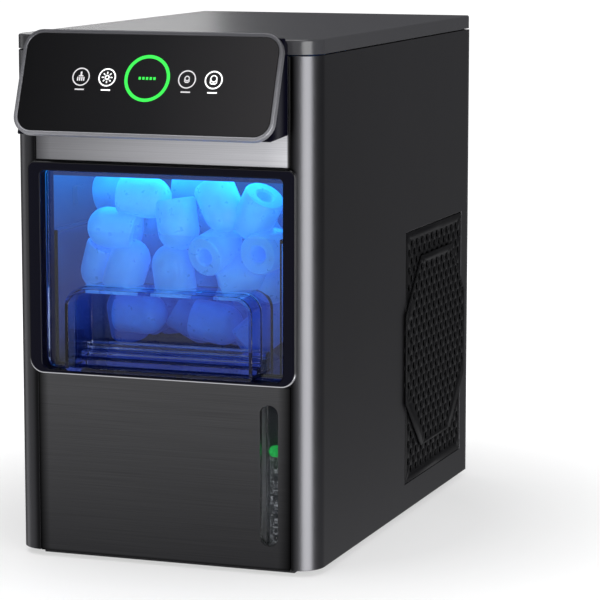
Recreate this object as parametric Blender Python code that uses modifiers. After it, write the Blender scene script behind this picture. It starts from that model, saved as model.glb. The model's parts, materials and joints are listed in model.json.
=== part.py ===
"""Countertop ice maker with a pull-out ice drawer, a lift-up lid and a vapour-compression cooling circuit.

The origin is on the table under the middle of the ice maker. The front faces -Y, and +X is its right-hand
side.
"""
import math

import bmesh
import bpy
from mathutils import Matrix, Vector

# Driving dimensions, in metres.
BODY_WIDTH = 0.210
BODY_DEPTH = 0.340
SHELL_BOTTOM = 0.004
LID_TOP = 0.344
LID_THICKNESS = 0.0095
FRONT_REACH = 0.036
REAR_REACH = 0.010
SHEET = 0.002
CORNER = 0.017
GAP = 0.0003

# The body's planes.
HALF = BODY_WIDTH / 2
FRONT = (FRONT_REACH - REAR_REACH - BODY_DEPTH) / 2
REAR = FRONT + BODY_DEPTH
LID_BOTTOM = LID_TOP - LID_THICKNESS
SHELL_TOP = LID_BOTTOM - 0.0008
INSIDE = HALF - SHEET
FASCIA_HALF = HALF - CORNER
FASCIA_BACK = FRONT + SHEET
PAN_TOP = SHELL_BOTTOM + 0.0035

# Drawer and its bay.
BEZEL_HALF = 0.0924
BEZEL_LOW = 0.1234
BEZEL_HIGH = 0.2625
BEZEL_RISE = 0.0035
BAY_HALF = 0.0836
BAY_LOW = 0.1262
BAY_HIGH = 0.2565
SLEEVE = 0.002
FRAME_DEPTH = 0.003
WINDOW_SET_BACK = 0.005
WINDOW_THICKNESS = 0.004
GRIP_HALF = 0.0650
GRIP_TOP = 0.1810
GRIP_RISE = 0.0085
GRIP_DEPTH = 0.0320
GRIP_WALL = 0.0025
GRIP_RADIUS = 0.012
TUB_HALF = 0.0790
TUB_WALL = 0.0018
TUB_LIP = 0.0022
TUB_TOP = 0.2165
TUB_REAR = -0.0070
LINER_HALF = 0.0890
LINER_TOP = 0.2620
LINER_REAR = 0.0010
DRAWER_TRAVEL_CLEARANCE = 0.0004

# Control panel, which leans back from its lower edge.
PANEL_HALF = 0.0883
PANEL_HEIGHT = 0.0700
PANEL_LEAN = math.radians(21.1)
PANEL_LOW = 0.2832
PANEL_CORNER = 0.013
RIM_WIDTH = 0.0025
RIM_DEPTH = 0.005

# Side vents.
VENT_Y = (0.031, 0.166)
VENT_Z = (0.023, 0.201)
VENT_GROOVE = 0.0006
RAISED_Y = (0.0285, 0.169)
RAISED_Z = (0.0455, 0.181)
RAISED_STRAIGHT_Z = (0.081, 0.143)
RAISED_FLAT_Y = (0.0635, 0.1345)
RAISE = 0.002

# Water level sight.
SIGHT_X = 0.073
SIGHT_Z = (0.0193, 0.1107)
SIGHT_HALF = 0.0059
SIGHT_TUBE_Y = FRONT + 0.0115
FLOAT_RADIUS = 0.0039
FLOAT_Z = 0.0792

# Lid hinge.
HINGE_Y = REAR + 0.0045
HINGE_Z = LID_BOTTOM - 0.001
HINGE_X = 0.070
KNUCKLE = 0.0038
PIN = 0.002

# Ice-making chamber.
CHEEK_IN = 0.0755
CHEEK_OUT = 0.0780
CHAMBER_FRONT = -0.068
CHAMBER_REAR = 0.018
TRAY_HALF = 0.067
TRAY_Y = (-0.0515, 0.0085)
TRAY_Z = (0.274, 0.304)
TRAY_AXIS = (-0.0485, 0.298)
SHOVEL_AXIS = (-0.060, 0.310)
FINGER_X = (-0.045, -0.015, 0.015, 0.045)
FINGER_Y = (-0.0355, -0.0075)
FINGER_LOW = 0.286
MANIFOLD_Z = (0.318, 0.3265)
LINE_X = 0.030
LINE_Z = 0.323
DECK_Z = (0.3283, 0.3310)
STUB_END = 0.0772

# Water tank below the bay.
TANK_HALF = 0.098
TANK_Y = (-0.137, 0.021)
TANK_Z = (0.0080, 0.1150)
PARTITION_Y = 0.024
DRAIN_X = 0.020
DRAIN_Z = 0.022

# Cooling machinery behind the partition.
COMPRESSOR_AT = (-0.048, 0.098)
DISCHARGE_AT = (-0.030, 0.080)
SUCTION_AT = (-0.062, 0.112)
STUB_TOP = 0.172
CONDENSER_X = (0.0665, 0.0975)
CONDENSER_Y = (0.035, 0.165)
CONDENSER_Z = (0.025, 0.195)
FAN_Y = 0.100
FAN_Z = 0.110
FAN_BORE = 0.056
FAN_RADIUS = 0.0525
FAN_BLADES = 5
DRIER_AT = (0.024, 0.150)
DRIER_Z = (0.060, 0.140)
GLAND_X = -0.070
GLAND_Z = 0.050

SIDES = (("left", -1), ("right", 1))


def new_collection(name):
    group = bpy.data.collections.new(name)
    bpy.context.scene.collection.children.link(group)
    return group


def clear_scene():
    for item in list(bpy.data.objects):
        bpy.data.objects.remove(item, do_unlink=True)


clear_scene()
PARTS = new_collection("ice_maker")
CUTTERS = new_collection("cutters")


def finish(piece, colour, roughness, metallic=0.0):
    """Give a piece a material of its own."""
    paint = bpy.data.materials.new(piece.name)
    paint.use_nodes = True
    shader = paint.node_tree.nodes["Principled BSDF"]
    shader.inputs["Base Color"].default_value = (*colour, 1)
    shader.inputs["Roughness"].default_value = roughness
    shader.inputs["Metallic"].default_value = metallic
    piece.data.materials.append(paint)
    return piece


def add_piece(name, shape, home):
    """Turn a bmesh in world coordinates into an object whose origin is at the middle of its bounds."""
    lows = Vector(min(v.co[i] for v in shape.verts) for i in range(3))
    highs = Vector(max(v.co[i] for v in shape.verts) for i in range(3))
    middle = (lows + highs) / 2
    bmesh.ops.translate(shape, vec=-middle, verts=shape.verts)
    bmesh.ops.recalc_face_normals(shape, faces=shape.faces)
    mesh = bpy.data.meshes.new(name)
    shape.to_mesh(mesh)
    shape.free()
    piece = bpy.data.objects.new(name, mesh)
    piece.location = middle
    home.objects.link(piece)
    return piece


def box(name, x, y, z, home=PARTS):
    """A block between the low and high of each axis."""
    shape = bmesh.new()
    bmesh.ops.create_cube(shape, size=1)
    size = (x[1] - x[0], y[1] - y[0], z[1] - z[0])
    bmesh.ops.scale(shape, vec=size, verts=shape.verts)
    bmesh.ops.translate(shape, vec=[(low + high) / 2 for low, high in (x, y, z)], verts=shape.verts)
    return add_piece(name, shape, home)


def open_box(name, x, y, z, wall, open_sides):
    """A sheet box, open on the named sides, with its walls inside the given bounds."""
    piece = box(name, x, y, z)
    shape = bmesh.new()
    shape.from_mesh(piece.data)
    missing = [face for face in shape.faces if any(face.normal.dot(side) > 0.9 for side in open_sides)]
    bmesh.ops.delete(shape, geom=missing, context="FACES")
    shape.to_mesh(piece.data)
    shape.free()
    skin = piece.modifiers.new("skin", "SOLIDIFY")
    skin.thickness = wall
    skin.offset = -1
    skin.use_even_offset = True
    return piece


UP = Vector((0, 0, 1))
FORWARD = Vector((0, -1, 0))

# Each frame carries an outline's (u, v) to the plane across its axis.
PLANES = {
    "X": Matrix(((0, 0, 1, 0), (1, 0, 0, 0), (0, 1, 0, 0), (0, 0, 0, 1))),
    "Y": Matrix(((1, 0, 0, 0), (0, 0, -1, 0), (0, 1, 0, 0), (0, 0, 0, 1))),
    "Z": Matrix.Identity(4),
}
AXES = {"X": Vector((1, 0, 0)), "Y": Vector((0, 1, 0)), "Z": Vector((0, 0, 1))}


def plate(name, axis, low, high, outlines, home=PARTS):
    """A flat plate across an axis. Outlines inside the first one are its holes."""
    curve = bpy.data.curves.new(name, "CURVE")
    curve.dimensions = "2D"
    curve.fill_mode = "BOTH"
    curve.extrude = (high - low) / 2
    for outline in outlines:
        spline = curve.splines.new("POLY")
        spline.points.add(len(outline) - 1)
        for point, (u, v) in zip(spline.points, outline):
            point.co = (u, v, 0, 1)
        spline.use_cyclic_u = True
    guide = bpy.data.objects.new(name, curve)
    home.objects.link(guide)
    depsgraph = bpy.context.evaluated_depsgraph_get()
    mesh = bpy.data.meshes.new_from_object(guide.evaluated_get(depsgraph))
    bpy.data.objects.remove(guide)
    shape = bmesh.new()
    shape.from_mesh(mesh)
    bmesh.ops.remove_doubles(shape, verts=shape.verts, dist=0.00001)
    bmesh.ops.transform(shape, matrix=PLANES[axis], verts=shape.verts)
    bmesh.ops.translate(shape, vec=AXES[axis] * (low + high) / 2, verts=shape.verts)
    return add_piece(name, shape, home)


def arc(centre, radius, start, end, steps):
    """Points on an arc, from one angle to another in degrees."""
    angles = [math.radians(start + (end - start) * i / steps) for i in range(steps + 1)]
    return [(centre[0] + radius * math.cos(a), centre[1] + radius * math.sin(a)) for a in angles]


def circle(centre, radius, steps=16):
    return arc(centre, radius, 0, 360 - 360 / steps, steps - 1)


def rectangle(u, v):
    return [(u[0], v[0]), (u[1], v[0]), (u[1], v[1]), (u[0], v[1])]


def rounded(u, v, low_radius, high_radius, steps=4):
    """A rectangle whose lower and upper corners are rounded."""
    outline = arc((u[0] + low_radius, v[0] + low_radius), low_radius, 180, 270, steps)
    outline += arc((u[1] - low_radius, v[0] + low_radius), low_radius, 270, 360, steps)
    outline += arc((u[1] - high_radius, v[1] - high_radius), high_radius, 0, 90, steps)
    outline += arc((u[0] + high_radius, v[1] - high_radius), high_radius, 90, 180, steps)
    return outline


def arch(half, low, high, radius):
    """A doorway outline with round upper corners."""
    outline = [(-half, low), (half, low)]
    outline += arc((half - radius, high - radius), radius, 0, 90, 4)
    outline += arc((radius - half, high - radius), radius, 90, 180, 4)
    return outline


def rod(name, axis, radius, low, high, across, home=PARTS, steps=16):
    """Round bars along an axis, each through one of the given points of the plane across it."""
    shape = bmesh.new()
    turn = PLANES[axis]
    for point in across:
        place = Matrix.Translation(turn @ Vector((*point, 0)) + AXES[axis] * (low + high) / 2)
        bmesh.ops.create_cone(shape, cap_ends=True, segments=steps, radius1=radius, radius2=radius,
                              depth=high - low, matrix=place @ turn)
    return add_piece(name, shape, home)


def turned(name, profile, centre, axis="Z", closed=False, steps=20, home=PARTS):
    """A profile of (radius, height) points turned about an axis through the centre."""
    count = len(profile)
    edges = [(i, i + 1) for i in range(count - 1)] + ([(count - 1, 0)] if closed else [])
    mesh = bpy.data.meshes.new(name)
    mesh.from_pydata([(radius, 0, height) for radius, height in profile], edges, [])
    piece = bpy.data.objects.new(name, mesh)
    piece.location = centre
    piece.rotation_euler = {"X": (0, math.pi / 2, 0), "Y": (-math.pi / 2, 0, 0), "Z": (0, 0, 0)}[axis]
    home.objects.link(piece)
    screw = piece.modifiers.new("turn", "SCREW")
    screw.steps = steps
    screw.render_steps = steps
    screw.use_merge_vertices = True
    screw.merge_threshold = 0.00001
    screw.use_smooth_shade = True
    return piece


def bend_route(corners, bend, steps=4):
    """A route through its corners, each rounded over the bend length."""
    points = [Vector(corners[0])]
    for before, corner, after in zip(corners, corners[1:], corners[2:]):
        corner = Vector(corner)
        start = corner + (Vector(before) - corner).normalized() * bend
        end = corner + (Vector(after) - corner).normalized() * bend
        for i in range(steps + 1):
            t = i / steps
            points.append(start * (1 - t) ** 2 + corner * 2 * t * (1 - t) + end * t ** 2)
    points.append(Vector(corners[-1]))
    return points


def pipe(name, corners, radius, bend):
    """A round pipe or hose along a bent route."""
    points = bend_route(corners, bend)
    curve = bpy.data.curves.new(name, "CURVE")
    curve.dimensions = "3D"
    curve.bevel_depth = radius
    curve.bevel_resolution = 2
    curve.use_fill_caps = True
    spline = curve.splines.new("POLY")
    spline.points.add(len(points) - 1)
    for knot, point in zip(spline.points, points):
        knot.co = (*(point - points[0]), 1)
    piece = bpy.data.objects.new(name, curve)
    piece.location = points[0]
    PARTS.objects.link(piece)
    return piece


def combine(piece, other, operation):
    tool = piece.modifiers.new(other.name, "BOOLEAN")
    tool.operation = operation
    tool.object = other
    tool.solver = "EXACT"
    other.hide_render = True
    other.display_type = "WIRE"


def cut(piece, *cutters):
    for cutter in cutters:
        combine(piece, cutter, "DIFFERENCE")


def unite(piece, *others):
    for other in others:
        combine(piece, other, "UNION")


def round_edges(piece, width, segments=2, angle=40):
    bevel = piece.modifiers.new("edges", "BEVEL")
    bevel.width = width
    bevel.segments = segments
    bevel.limit_method = "ANGLE"
    bevel.angle_limit = math.radians(angle)


def hang(pieces, name, pivot):
    """Parent moving pieces to an empty on their joint's axis."""
    joint = bpy.data.objects.new(name, None)
    joint.location = pivot
    PARTS.objects.link(joint)
    for piece in pieces:
        piece.parent = joint
        piece.matrix_parent_inverse = Matrix.Translation(-Vector(pivot))


BLACK = (0.012, 0.012, 0.014)
DARK_GREY = (0.05, 0.05, 0.055)
STEEL = (0.45, 0.45, 0.46)
COPPER = (0.72, 0.35, 0.20)
CLEAR_BLUE = (0.25, 0.55, 0.90)
WHITE = (0.85, 0.86, 0.88)
RUBBER = (0.02, 0.02, 0.02)
BOARD_GREEN = (0.03, 0.20, 0.08)


def inner_plan():
    """The plan inside the side panels, with round front corners."""
    inset = 0.0004
    radius = CORNER - SHEET - inset
    middle = FRONT + CORNER
    edge = INSIDE - inset
    back = REAR - SHEET - GAP
    outline = arc((-FASCIA_HALF, middle), radius, 180, 270, 6)
    outline += arc((FASCIA_HALF, middle), radius, 270, 360, 6)
    return outline + [(edge, back), (-edge, back)]


def make_base():
    pan = plate("base_pan", "Z", SHELL_BOTTOM + 0.0005, PAN_TOP, [inner_plan()])
    plinth = box("plinth", (-0.088, 0.088), (FRONT + 0.007, REAR - 0.007), (0.001, PAN_TOP - 0.001), CUTTERS)
    feet = [(x, y) for x in (-0.070, 0.070) for y in (FRONT + 0.025, REAR - 0.025)]
    wells = rod("foot_wells", "Z", 0.0112, -0.001, SHELL_BOTTOM + 0.0005, feet, CUTTERS)
    unite(pan, plinth)
    cut(pan, wells)
    finish(pan, BLACK, 0.5)
    names = ("foot_front_left", "foot_rear_left", "foot_front_right", "foot_rear_right")
    for name, (x, y) in zip(names, feet):
        profile = [(0, 0.0042), (0.0108, 0.0042), (0.0100, 0), (0, 0)]
        finish(turned(name, profile, (x, y, 0)), RUBBER, 0.9)


def make_side_panels():
    middle = (FASCIA_HALF, FRONT + CORNER)
    back = REAR - SHEET - GAP
    outline = arc(middle, CORNER, -90, 0, 8) + [(HALF, back), (INSIDE, back)]
    outline += arc(middle, CORNER - SHEET, 0, -90, 8)
    for side, sign in SIDES:
        plan = [(sign * x, y) for x, y in outline]
        panel = plate(f"{side}_side_panel", "Z", SHELL_BOTTOM, SHELL_TOP, [plan])
        window = box(f"{side}_vent_opening", sorted((sign * 0.090, sign * 0.120)), VENT_Y, VENT_Z, CUTTERS)
        cut(panel, window)
        finish(panel, DARK_GREY, 0.45, 0.3)


def make_vent_grilles():
    """Each grille fills its opening and carries a raised field with cut corners."""
    (y0, y1), (z0, z1) = RAISED_Y, RAISED_Z
    (fy0, fy1), (sz0, sz1) = RAISED_FLAT_Y, RAISED_STRAIGHT_Z
    field = [(fy0, z0), (fy1, z0), (y1, sz0), (y1, sz1), (fy1, z1), (fy0, z1), (y0, sz1), (y0, sz0)]
    flange_y = (VENT_Y[0] + VENT_GROOVE, VENT_Y[1] - VENT_GROOVE)
    flange_z = (VENT_Z[0] + VENT_GROOVE, VENT_Z[1] - VENT_GROOVE)
    slots = [rectangle(RAISED_FLAT_Y, (0.033 + 0.012 * i, 0.039 + 0.012 * i)) for i in range(13)]
    for side, sign in SIDES:
        def span(low, high):
            return sorted((sign * low, sign * high))
        grille = box(f"{side}_vent_grille", span(INSIDE, HALF), flange_y, flange_z)
        core = box(f"{side}_vent_core", span(HALF - 0.001, HALF + 0.0015),
                   (VENT_Y[0] + 0.002, VENT_Y[1] - 0.002), RAISED_STRAIGHT_Z, CUTTERS)
        raised = plate(f"{side}_vent_field", "X", *span(HALF + GAP, HALF + RAISE), [field], CUTTERS)
        holes = plate(f"{side}_vent_holes", "X", *span(HALF - 0.010, HALF + 0.010), slots, CUTTERS)
        unite(grille, core, raised)
        cut(grille, holes)
        finish(grille, BLACK, 0.5)


def make_rear_panel():
    slots = [rectangle((-0.062, 0.062), (0.218 + 0.011 * i, 0.223 + 0.011 * i)) for i in range(7)]
    holes = [circle((GLAND_X, GLAND_Z), 0.0068), circle((DRAIN_X, DRAIN_Z), 0.0078)]
    outline = rectangle((-HALF, HALF), (SHELL_BOTTOM, SHELL_TOP))
    finish(plate("rear_panel", "Y", REAR - SHEET, REAR, [outline] + slots + holes), DARK_GREY, 0.5, 0.3)


def make_front():
    """The chassis frame behind the front, the bright band, the lower panel and the drawer's bezel."""
    sight_hole = rounded((SIGHT_X - SIGHT_HALF - GAP, SIGHT_X + SIGHT_HALF + GAP),
                         (SIGHT_Z[0] - GAP, SIGHT_Z[1] + GAP), SIGHT_HALF + GAP, SIGHT_HALF + GAP)
    frame_front = FASCIA_BACK + GAP
    bay = rectangle((-0.0860, 0.0860), (0.1238, 0.2590))
    frame = plate("front_frame", "Y", frame_front, frame_front + FRAME_DEPTH,
                  [rectangle((-0.0905, 0.0905), (PAN_TOP + GAP, 0.3275)), bay, sight_hole])
    finish(frame, BLACK, 0.6)
    edge = FASCIA_HALF - GAP
    band = plate("fascia_band", "Y", FRONT, FASCIA_BACK,
                 [rectangle((-edge, edge), (BEZEL_HIGH + 0.0005, SHELL_TOP))])
    finish(band, STEEL, 0.3, 1.0)
    lower = plate("lower_panel", "Y", FRONT, FASCIA_BACK,
                  [rectangle((-edge, edge), (SHELL_BOTTOM, BEZEL_LOW - 0.0005)), sight_hole])
    finish(lower, DARK_GREY, 0.4, 0.6)
    bezel = plate("drawer_bezel", "Y", FRONT - BEZEL_RISE, FRONT - GAP,
                  [rounded((-BEZEL_HALF, BEZEL_HALF), (BEZEL_LOW, BEZEL_HIGH), 0.010, 0.005),
                   rounded((-BAY_HALF, BAY_HALF), (BAY_LOW, BAY_HIGH), 0.006, 0.003)])
    inner = BAY_HALF + 0.0002
    outer = inner + SLEEVE
    sleeve = plate("bezel_sleeve", "Y", FRONT - 0.002, frame_front + FRAME_DEPTH,
                   [rounded((-outer, outer), (BAY_LOW - 0.0022, BAY_HIGH + 0.0022), 0.006, 0.003),
                    rounded((-inner, inner), (BAY_LOW - 0.0002, BAY_HIGH + 0.0002), 0.006, 0.003)], CUTTERS)
    unite(bezel, sleeve)
    finish(bezel, (0.3, 0.3, 0.31), 0.15, 1.0)


def make_sight():
    """The lens in the front, the tube behind it and the float ball in the tube."""
    lens = plate("sight_window", "Y", FRONT - 0.0002, FRONT + 0.0035,
                 [rounded((SIGHT_X - SIGHT_HALF, SIGHT_X + SIGHT_HALF), SIGHT_Z, SIGHT_HALF, SIGHT_HALF)])
    finish(lens, WHITE, 0.05)
    profile = [(0, 0.016), (0.0045, 0.016), (0.0045, 0.114), (0.0057, 0.114), (0.0057, 0.014), (0, 0.014)]
    tube = turned("sight_tube", profile, (SIGHT_X, SIGHT_TUBE_Y, 0), steps=16)
    port = (SIGHT_X, 0.020)
    unite(tube, rod("sight_port", "Y", 0.0028, SIGHT_TUBE_Y + 0.0050, TANK_Y[0] - GAP, [port], CUTTERS, 10))
    cut(tube, rod("sight_port_bore", "Y", 0.0014, SIGHT_TUBE_Y, TANK_Y[0] + 0.005, [port], CUTTERS, 8))
    finish(tube, WHITE, 0.05)
    shape = bmesh.new()
    bmesh.ops.create_uvsphere(shape, u_segments=16, v_segments=8, radius=FLOAT_RADIUS)
    bmesh.ops.translate(shape, vec=(SIGHT_X, SIGHT_TUBE_Y, FLOAT_Z), verts=shape.verts)
    finish(add_piece("float_ball", shape, PARTS), (0.10, 0.75, 0.20), 0.4)


def make_drawer():
    """The clear window, the tub that holds the ice and the grip pocket let into both."""
    window_front = FRONT + WINDOW_SET_BACK
    window_back = window_front + WINDOW_THICKNESS
    half = BAY_HALF - DRAWER_TRAVEL_CLEARANCE
    low = BAY_LOW + DRAWER_TRAVEL_CLEARANCE
    high = BAY_HIGH - DRAWER_TRAVEL_CLEARANCE
    grip_back = FRONT + GRIP_DEPTH
    notch = [arch(GRIP_HALF + GAP, low - 0.005, GRIP_TOP + GAP, GRIP_RADIUS)]
    window = plate("drawer_window", "Y", window_front, window_back,
                   [rounded((-half, half), (low, high), 0.006, 0.003)])
    cut(window, plate("window_notch", "Y", FRONT, window_back + 0.005, notch, CUTTERS))
    finish(window, CLEAR_BLUE, 0.05)
    tub_front = window_back + GAP
    tub = open_box("drawer_tub", (-TUB_HALF, TUB_HALF), (tub_front, TUB_REAR), (low + 0.0012, TUB_TOP),
                   TUB_WALL, [UP])
    mouth = TUB_HALF - 0.0010
    lip = plate("tub_lip", "Z", TUB_TOP - TUB_LIP, TUB_TOP,
                [rectangle((-half + 0.0002, half - 0.0002), (tub_front, TUB_REAR)),
                 rectangle((-mouth, mouth), (tub_front + 0.0010, TUB_REAR - 0.0010))], CUTTERS)
    unite(tub, lip)
    cut(tub, plate("tub_notch", "Y", FRONT, grip_back + GAP, notch, CUTTERS))
    finish(tub, CLEAR_BLUE, 0.1)
    grip = plate("drawer_grip", "Y", FRONT - GRIP_RISE, grip_back,
                 [arch(GRIP_HALF, low + 0.0002, GRIP_TOP, GRIP_RADIUS)])
    pocket = plate("grip_pocket", "Y", FRONT - GRIP_RISE - 0.005, grip_back - GRIP_WALL,
                   [arch(GRIP_HALF - GRIP_WALL, low + 0.0002 + GRIP_WALL, GRIP_TOP - GRIP_WALL,
                         GRIP_RADIUS - GRIP_WALL)], CUTTERS)
    cut(grip, pocket)
    finish(grip, CLEAR_BLUE, 0.05)
    hang([window, tub, grip], "drawer_slide", (0, window_front, low))


def make_bay():
    """The liner that the drawer runs in, with its rails, the light above it and the ice level sensor."""
    front = FASCIA_BACK + FRAME_DEPTH + 2 * GAP + 0.0002
    liner = open_box("bay_liner", (-LINER_HALF, LINER_HALF), (front, LINER_REAR),
                     (BAY_LOW - 0.0042, LINER_TOP), 0.002, [UP, FORWARD])
    rail_z = (TUB_TOP - 0.0065, TUB_TOP - TUB_LIP - GAP)
    rails = [box(f"{side}_rail", sorted((sign * (TUB_HALF + 0.0005), sign * (LINER_HALF - 0.001))),
                 (FRONT + 0.0096, LINER_REAR - 0.007), rail_z, CUTTERS) for side, sign in SIDES]
    unite(liner, *rails)
    pour_half = LINER_HALF - 0.002
    pour = box("pour_gap", (-pour_half, pour_half), (-0.003, 0.003), (0.236, 0.270), CUTTERS)
    drips = [rectangle((x - 0.006, x + 0.006), (-0.120, -0.030)) for x in (-0.050, 0, 0.050)]
    cut(liner, pour, plate("drip_slots", "Z", 0.118, 0.1255, drips, CUTTERS))
    finish(liner, (0.55, 0.57, 0.60), 0.35)
    strip = box("led_strip", (-0.070, 0.070), (FRONT + 0.0056, FRONT + 0.0096), (0.2605, 0.2645))
    finish(strip, (0.20, 0.45, 1.0), 0.3)
    sensor = box("ice_sensor", (-0.0867, -0.0837), (-0.100, -0.088), (0.228, 0.240))
    finish(sensor, BLACK, 0.4)


def make_tank():
    """The tank, its pump and the hoses that leave it."""
    tank = open_box("water_tank", (-TANK_HALF, TANK_HALF), TANK_Y, TANK_Z, 0.002, [UP])
    cut(tank, rod("drain_hole", "Y", 0.0042, 0.010, 0.030, [(DRAIN_X, DRAIN_Z)], CUTTERS),
        rod("sight_hole", "Y", 0.0016, -0.150, -0.130, [(SIGHT_X, 0.020)], CUTTERS, 8))
    finish(tank, WHITE, 0.3)
    pump = box("water_pump", (0.055, 0.090), (-0.022, 0.015), (0.0105, 0.0400))
    unite(pump, rod("pump_outlet", "Z", 0.0042, 0.038, 0.050, [(0.084, 0.010)], CUTTERS, 12))
    finish(pump, BLACK, 0.5)
    route = [(0.084, 0.010, 0.0503), (0.084, 0.010, 0.3115), (0.060, 0.002, 0.3115)]
    hose = pipe("supply_hose", route, 0.003, 0.012)
    finish(hose, WHITE, 0.3)
    drain = pipe("drain_hose", [(DRAIN_X, TANK_Y[1] + GAP, DRAIN_Z), (DRAIN_X, 0.1717, DRAIN_Z)], 0.005, 0)
    finish(drain, WHITE, 0.3)


def make_drain():
    """The drain fitting in the rear panel and the plug that is pulled out of it."""
    neck, flange, bore = 0.0075, 0.011, 0.0048
    profile = [(bore, 0.1855), (flange, 0.1855), (flange, REAR + GAP), (neck, REAR + GAP), (neck, 0.172),
               (bore, 0.172)]
    centre = (DRAIN_X, 0, DRAIN_Z)
    finish(turned("drain_fitting", profile, centre, "Y", closed=True), BLACK, 0.5)
    knob_end = REAR + REAR_REACH
    stem = [(0, knob_end), (0.0075, knob_end), (0.0088, 0.1910), (0.0088, 0.1858), (0.0044, 0.1858),
            (0.0044, 0.1740), (0, 0.1740)]
    plug = turned("drain_plug", [(radius, y - REAR) for radius, y in stem], (DRAIN_X, REAR, DRAIN_Z), "Y")
    finish(plug, RUBBER, 0.7)


def make_cord_gland():
    profile = [(0.0038, 0.0060), (0.0070, 0.0060), (0.0095, 0.0030), (0.0095, GAP), (0.0064, GAP),
               (0.0064, -0.006), (0.0038, -0.006)]
    finish(turned("cord_gland", profile, (GLAND_X, REAR, GLAND_Z), "Y", closed=True, steps=16), RUBBER, 0.8)


def lid_outline(inset):
    """The lid's plan, with round front corners, moved in from its edge."""
    middle = FRONT + CORNER
    outline = arc((-FASCIA_HALF, middle), CORNER - inset, 180, 270, 8)
    outline += arc((FASCIA_HALF, middle), CORNER - inset, 270, 360, 8)
    return outline + [(HALF - inset, REAR - inset), (inset - HALF, REAR - inset)]


def make_lid():
    """The lid with its insulating insert, hinged behind the rear panel."""
    lid = plate("top_lid", "Z", LID_BOTTOM, LID_TOP, [lid_outline(0)])
    round_edges(lid, 0.0012, angle=60)
    cut(lid, plate("lid_hollow", "Z", LID_BOTTOM - 0.002, LID_TOP - 0.0024, [lid_outline(0.0030)], CUTTERS))
    finish(lid, (0.10, 0.10, 0.105), 0.35, 0.5)
    insert = plate("lid_insulation", "Z", LID_BOTTOM + 0.0004, LID_TOP - 0.0027, [lid_outline(0.0034)])
    finish(insert, (0.30, 0.31, 0.32), 0.8)
    moving = [lid, insert]
    axis = (HINGE_Y, HINGE_Z)
    reach = 0.0072
    for side, sign in SIDES:
        def span(low, high):
            return sorted((sign * (HINGE_X + low), sign * (HINGE_X + high)))
        leaf = box(f"{side}_hinge_leaf", span(-reach, reach), (REAR + GAP, REAR + 0.0024),
                   (HINGE_Z, LID_TOP - 0.0015))
        unite(leaf, rod(f"{side}_leaf_knuckle", "X", KNUCKLE, *span(-reach, reach), [axis], CUTTERS))
        cut(leaf, rod(f"{side}_leaf_bore", "X", PIN + GAP, *span(-0.010, 0.010), [axis], CUTTERS))
        moving.append(finish(leaf, STEEL, 0.3, 1.0))
        bracket = box(f"{side}_hinge_bracket", span(-0.016, 0.016), (REAR + GAP, REAR + 0.0022),
                      (0.300, HINGE_Z))
        knuckle = rod(f"{side}_bracket_knuckle", "X", KNUCKLE, *span(-0.016, 0.016), [axis], CUTTERS)
        clear = box(f"{side}_leaf_room", span(-reach - 0.0004, reach + 0.0004), (REAR - 0.002, REAR + 0.012),
                    (HINGE_Z - KNUCKLE - 0.001, HINGE_Z + 0.006), CUTTERS)
        unite(bracket, knuckle)
        bore = rod(f"{side}_bracket_bore", "X", PIN + GAP, *span(-0.020, 0.020), [axis], CUTTERS)
        cut(bracket, clear, bore)
        finish(bracket, STEEL, 0.3, 1.0)
        finish(rod(f"{side}_hinge_pin", "X", PIN, *span(-0.0165, 0.0165), [axis], steps=12), STEEL, 0.2, 1.0)
    hang(moving, "lid_hinge", (0, *axis))


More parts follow.
